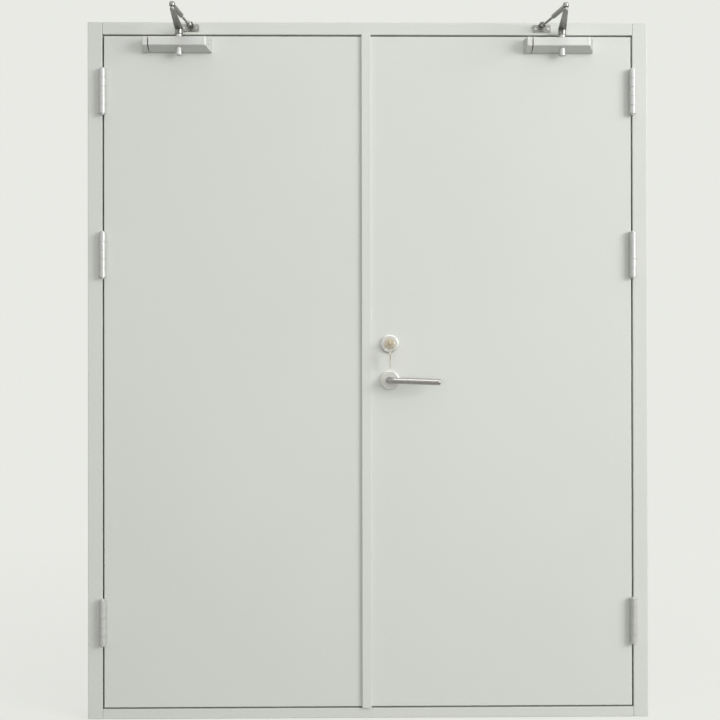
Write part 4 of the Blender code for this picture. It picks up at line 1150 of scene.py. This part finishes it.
class FIRE_DOOR_OT_cylinder(Operator):
    """Make the lock cylinder, its plug, the key, the ring and the spare key"""

    bl_idname = "fire_door.cylinder"
    bl_label = "Cylinder and keys"

    def execute(self, context):
        front = ROSETTE_THICKNESS + CYLINDER_PROUD
        back = FRONT - LEAF_BACK - ROSETTE_THICKNESS - CYLINDER_PROUD
        bore = PLUG_RADIUS + PIN_PLAY
        floor = front - PLUG_DEPTH - SEAT
        profile = [(0.0, floor), (bore, floor), (bore, front - 0.0004), (bore + 0.0004, front)]
        profile += [*rounded_side(CYLINDER_RADIUS, back, front, SOFT_RIM, SOFT_RIM), (0.0, back)]
        place = at(LOCK_X, FRONT, CYLINDER_Z) @ OUT_FRONT
        target = bmesh.new()
        absorb(target, turned(profile, hardware().round_segments * 2), place)
        finishes = ["cylinder_brass"]
        finish_piece("lock_barrel", target, "right_leaf", "satin_stainless", "lock_cylinder", finishes)
        build_plug(place, front, front + PLUG_PROUD)
        build_keys(FRONT - front - PLUG_PROUD)
        return {"FINISHED"}


# Edge plates


def build_edge_plate(name, node, body, openings, lined, bolts=()):
    """A plate let in flush with a leaf's meeting edge, with screws, openings and the bolts in them."""
    low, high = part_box(node)
    middle = (low + high) / 2
    thickness = high.x - low.x
    outward = -1 if body == "right_leaf" else 1
    face_x = middle.x + outward * thickness / 2
    half = (high.z - low.z) / 2
    outline = rectangle((low.y - middle.y, -half), (high.y - middle.y, half))
    spots = [(0.0, -EDGE_SCREW_SHARE * half), (0.0, EDGE_SCREW_SHARE * half)]
    holes = screw_holes(spots, EDGE_SCREW_RADIUS)
    for z, width, height in openings:
        rise = z - middle.z
        holes.append(rectangle((-width / 2, rise - height / 2), (width / 2, rise + height / 2)))
    target = bmesh.new()
    absorb(target, sheet(outline, holes, thickness, PLATE_CHAMFER), at(*middle) @ ACROSS_X)
    for _, rise in spots:
        place = at(face_x, middle.y, middle.z + rise) @ rotation(90 * outward, "Y")
        add_screw(target, place, EDGE_SCREW_RADIUS, 0.0, thickness - 0.0003)
    margin, near = OPENING_MARGIN, thickness - 0.0003
    fills = [(z, width + margin, height + margin, near, 0.0, 2) for z, width, height in openings]
    for z, width, height, near, radius, index in [*(fills if lined else ()), *bolts]:
        near_x, far_x = sorted((face_x - outward * near, face_x - outward * thickness))
        low = (near_x, middle.y - width / 2, z - height / 2)
        high = (far_x, middle.y + width / 2, z + height / 2)
        absorb(target, block(low, high, radius), None, index)
    finishes = ["plate_stainless", "screw_plated_steel", "smoke_seal_rubber"]
    finish_piece(name, target, body, "satin_stainless", node, finishes)


class FIRE_DOOR_OT_edge_plates(Operator):
    """Make the lock forend, the strike plate and the flush bolts on the meeting edges"""

    bl_idname = "fire_door.edge_plates"
    bl_label = "Edge plates"

    def execute(self, context):
        holes = [(LEVER_Z + LATCH_RISE, *LATCH_OPENING), (CYLINDER_Z - BOLT_DROP, *BOLT_OPENING)]
        margin = OPENING_MARGIN
        bolts = [(z, width - margin, height - margin, 0.0005, 0.0004, 1) for z, width, height in holes]
        build_edge_plate("forend_plate", "lock_forend", "right_leaf", holes, False, bolts)
        build_edge_plate("strike", "strike_plate", "left_leaf", holes, True)
        for word, shift in (("top", SLIDE_SHIFT), ("bottom", -SLIDE_SHIFT)):
            node = word + "_flush_bolt"
            low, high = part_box(node)
            middle_z = (low.z + high.z) / 2
            hole, slide = (middle_z, *SLIDE_OPENING), (middle_z + shift, *SLIDE, 1)
            build_edge_plate(word + "_bolt_plate", node, "left_leaf", [hole], True, [slide])
        return {"FINISHED"}


# Stage


def backdrop_share(tree, mirrored=1.0):
    """Share of the backdrop that a ray sees: all of it, or the mirrored share in a reflection."""
    rays = add_node(tree, "LightPath").outputs
    dimmed = calculated(tree, "MULTIPLY", rays["Is Glossy Ray"], mirrored)
    seen = calculated(tree, "MAXIMUM", rays["Is Camera Ray"], dimmed)
    return calculated(tree, "MAXIMUM", seen, rays["Is Transmission Ray"])


def mixed(tree, share, first, second):
    """The second shader in a share of the first."""
    return add_node(tree, "MixShader", {0: share, 1: first.outputs[0], 2: second.outputs[0]})


def build_world(stage):
    """A pale backdrop that lights softly, a little less from below and from the left."""
    world = bpy.data.worlds.new("studio")
    bpy.context.scene.world = world
    world.use_nodes = True
    tree = world.node_tree
    tree.nodes.clear()
    seen = add_node(tree, "Background", {"Color": (*stage.backdrop_colour, 1.0)})
    values = {0: add_node(tree, "TexCoord").outputs["Generated"], 1: (0.45, -0.30, 0.50)}
    toward = add_node(tree, "VectorMath", values, operation="DOT_PRODUCT").outputs["Value"]
    level = map_range(tree, toward, -0.7, 0.7, 0.45, 1.55)
    strength = calculated(tree, "MULTIPLY", level, stage.room_level)
    room = add_node(tree, "Background", {"Color": (1.0, 1.0, 1.0, 1.0), "Strength": strength})
    surface = mixed(tree, backdrop_share(tree), room, seen)
    add_node(tree, "OutputWorld", {"Surface": surface.outputs[0]})


def build_floor(stage):
    """A wide pale floor that shows the backdrop's colour and keeps a soft shadow near the door."""
    material = bpy.data.materials.new("pale_floor")
    material.use_nodes = True
    tree = material.node_tree
    tree.nodes.clear()
    pale = Vector(stage.backdrop_colour)
    plain = add_node(tree, "BsdfDiffuse", {"Color": (*pale, 1.0)})
    glow = add_node(tree, "Emission", {"Color": (*pale, 1.0)})
    values = {0: add_node(tree, "TexCoord").outputs["Object"]}
    distance = add_node(tree, "VectorMath", values, operation="LENGTH").outputs["Value"]
    seen = mixed(tree, map_range(tree, distance, 0.8, 4.0, 0.80, 1.0), plain, glow)
    dim = add_node(tree, "BsdfDiffuse", {"Color": (*(pale * stage.floor_return), 1.0)})
    surface = mixed(tree, backdrop_share(tree, stage.floor_mirrored), dim, seen)
    add_node(tree, "OutputMaterial", {"Surface": surface.outputs[0]})
    shell = bmesh.new()
    bmesh.ops.create_grid(shell, x_segments=2, y_segments=2, size=40.0, matrix=at(0, 0, -0.0003))
    mesh = bpy.data.meshes.new("floor")
    shell.to_mesh(mesh)
    shell.free()
    mesh.materials.append(material)
    floor = new_object("floor", mesh)


def add_soft_light(name, place, target, size, power):
    light = bpy.data.lights.new(name, "AREA")
    light.shape = "RECTANGLE"
    light.size, light.size_y = size
    light.energy = power
    lamp = new_object(name, light)
    aim = (Vector(target) - Vector(place)).to_track_quat("-Z", "Y")
    lamp.matrix_world = Matrix.Translation(place) @ aim.to_matrix().to_4x4()
    return lamp


def add_camera(stage):
    data = bpy.data.cameras.new("camera")
    data.sensor_fit = "HORIZONTAL"
    data.sensor_width = 36.0
    data.lens = stage.camera_lens_mm
    camera = new_object("camera", data)
    # An unturned camera looks down, so its pitch counts from a quarter turn up
    turn = rotation(stage.camera_yaw_deg, "Z") @ rotation(90 + stage.camera_pitch_deg, "X")
    camera.matrix_world = at(*stage.camera_place) @ turn @ rotation(stage.camera_roll_deg, "Z")
    bpy.context.scene.camera = camera


class FIRE_DOOR_OT_stage(Operator):
    """Make the pale floor and backdrop, the soft lights and the camera"""

    bl_idname = "fire_door.stage"
    bl_label = "Stage"

    def execute(self, context):
        stage = context.scene.fire_door_stage
        build_world(stage)
        build_floor(stage)
        key_size = (stage.key_size, stage.key_size)
        add_soft_light("key_light", stage.key_place, KEY_TARGET, key_size, stage.key_power)
        fill = add_soft_light("fill_light", FILL_PLACE, FILL_TARGET, FILL_SIZE, stage.fill_power)
        fill.visible_glossy = False
        back = add_soft_light("back_light", BACK_PLACE, BACK_TARGET, BACK_SIZE, stage.back_power)
        back.visible_glossy = False
        strip = add_soft_light("strip_light", STRIP_PLACE, STRIP_TARGET, STRIP_SIZE, stage.strip_power)
        strip.visible_diffuse = False
        add_camera(stage)
        context.scene.view_settings.view_transform = "Standard"
        return {"FINISHED"}


OPERATORS = (
    FIRE_DOOR_OT_frame,
    FIRE_DOOR_OT_leaves,
    FIRE_DOOR_OT_hinges,
    FIRE_DOOR_OT_closers,
    FIRE_DOOR_OT_arms,
    FIRE_DOOR_OT_levers,
    FIRE_DOOR_OT_cylinder,
    FIRE_DOOR_OT_edge_plates,
    FIRE_DOOR_OT_stage,
)


class FIRE_DOOR_PT_sidebar(Panel):
    """Lists the steps that finish the door."""

    bl_idname = "FIRE_DOOR_PT_sidebar"
    bl_label = "Steel double fire door"
    bl_space_type = "VIEW_3D"
    bl_region_type = "UI"
    bl_category = "Fire Door"

    def draw(self, context):
        for operator in OPERATORS:
            self.layout.operator(operator.bl_idname)


CLASSES = (*SETTING_GROUPS.values(), *OPERATORS, FIRE_DOOR_PT_sidebar)


def register():
    for item in CLASSES:
        bpy.utils.register_class(item)
    for name, group in SETTING_GROUPS.items():
        setattr(bpy.types.Scene, name, PointerProperty(type=group))


def unregister():
    for name in SETTING_GROUPS:
        delattr(bpy.types.Scene, name)
    for item in reversed(CLASSES):
        bpy.utils.unregister_class(item)


def main():
    register()
    bpy.ops.fire_door.frame()
    bpy.ops.fire_door.leaves()
    bpy.ops.fire_door.hinges()
    bpy.ops.fire_door.closers()
    bpy.ops.fire_door.arms()
    bpy.ops.fire_door.levers()
    bpy.ops.fire_door.cylinder()
    bpy.ops.fire_door.edge_plates()
    bpy.ops.fire_door.stage()


if __name__ == "__main__":
    main()
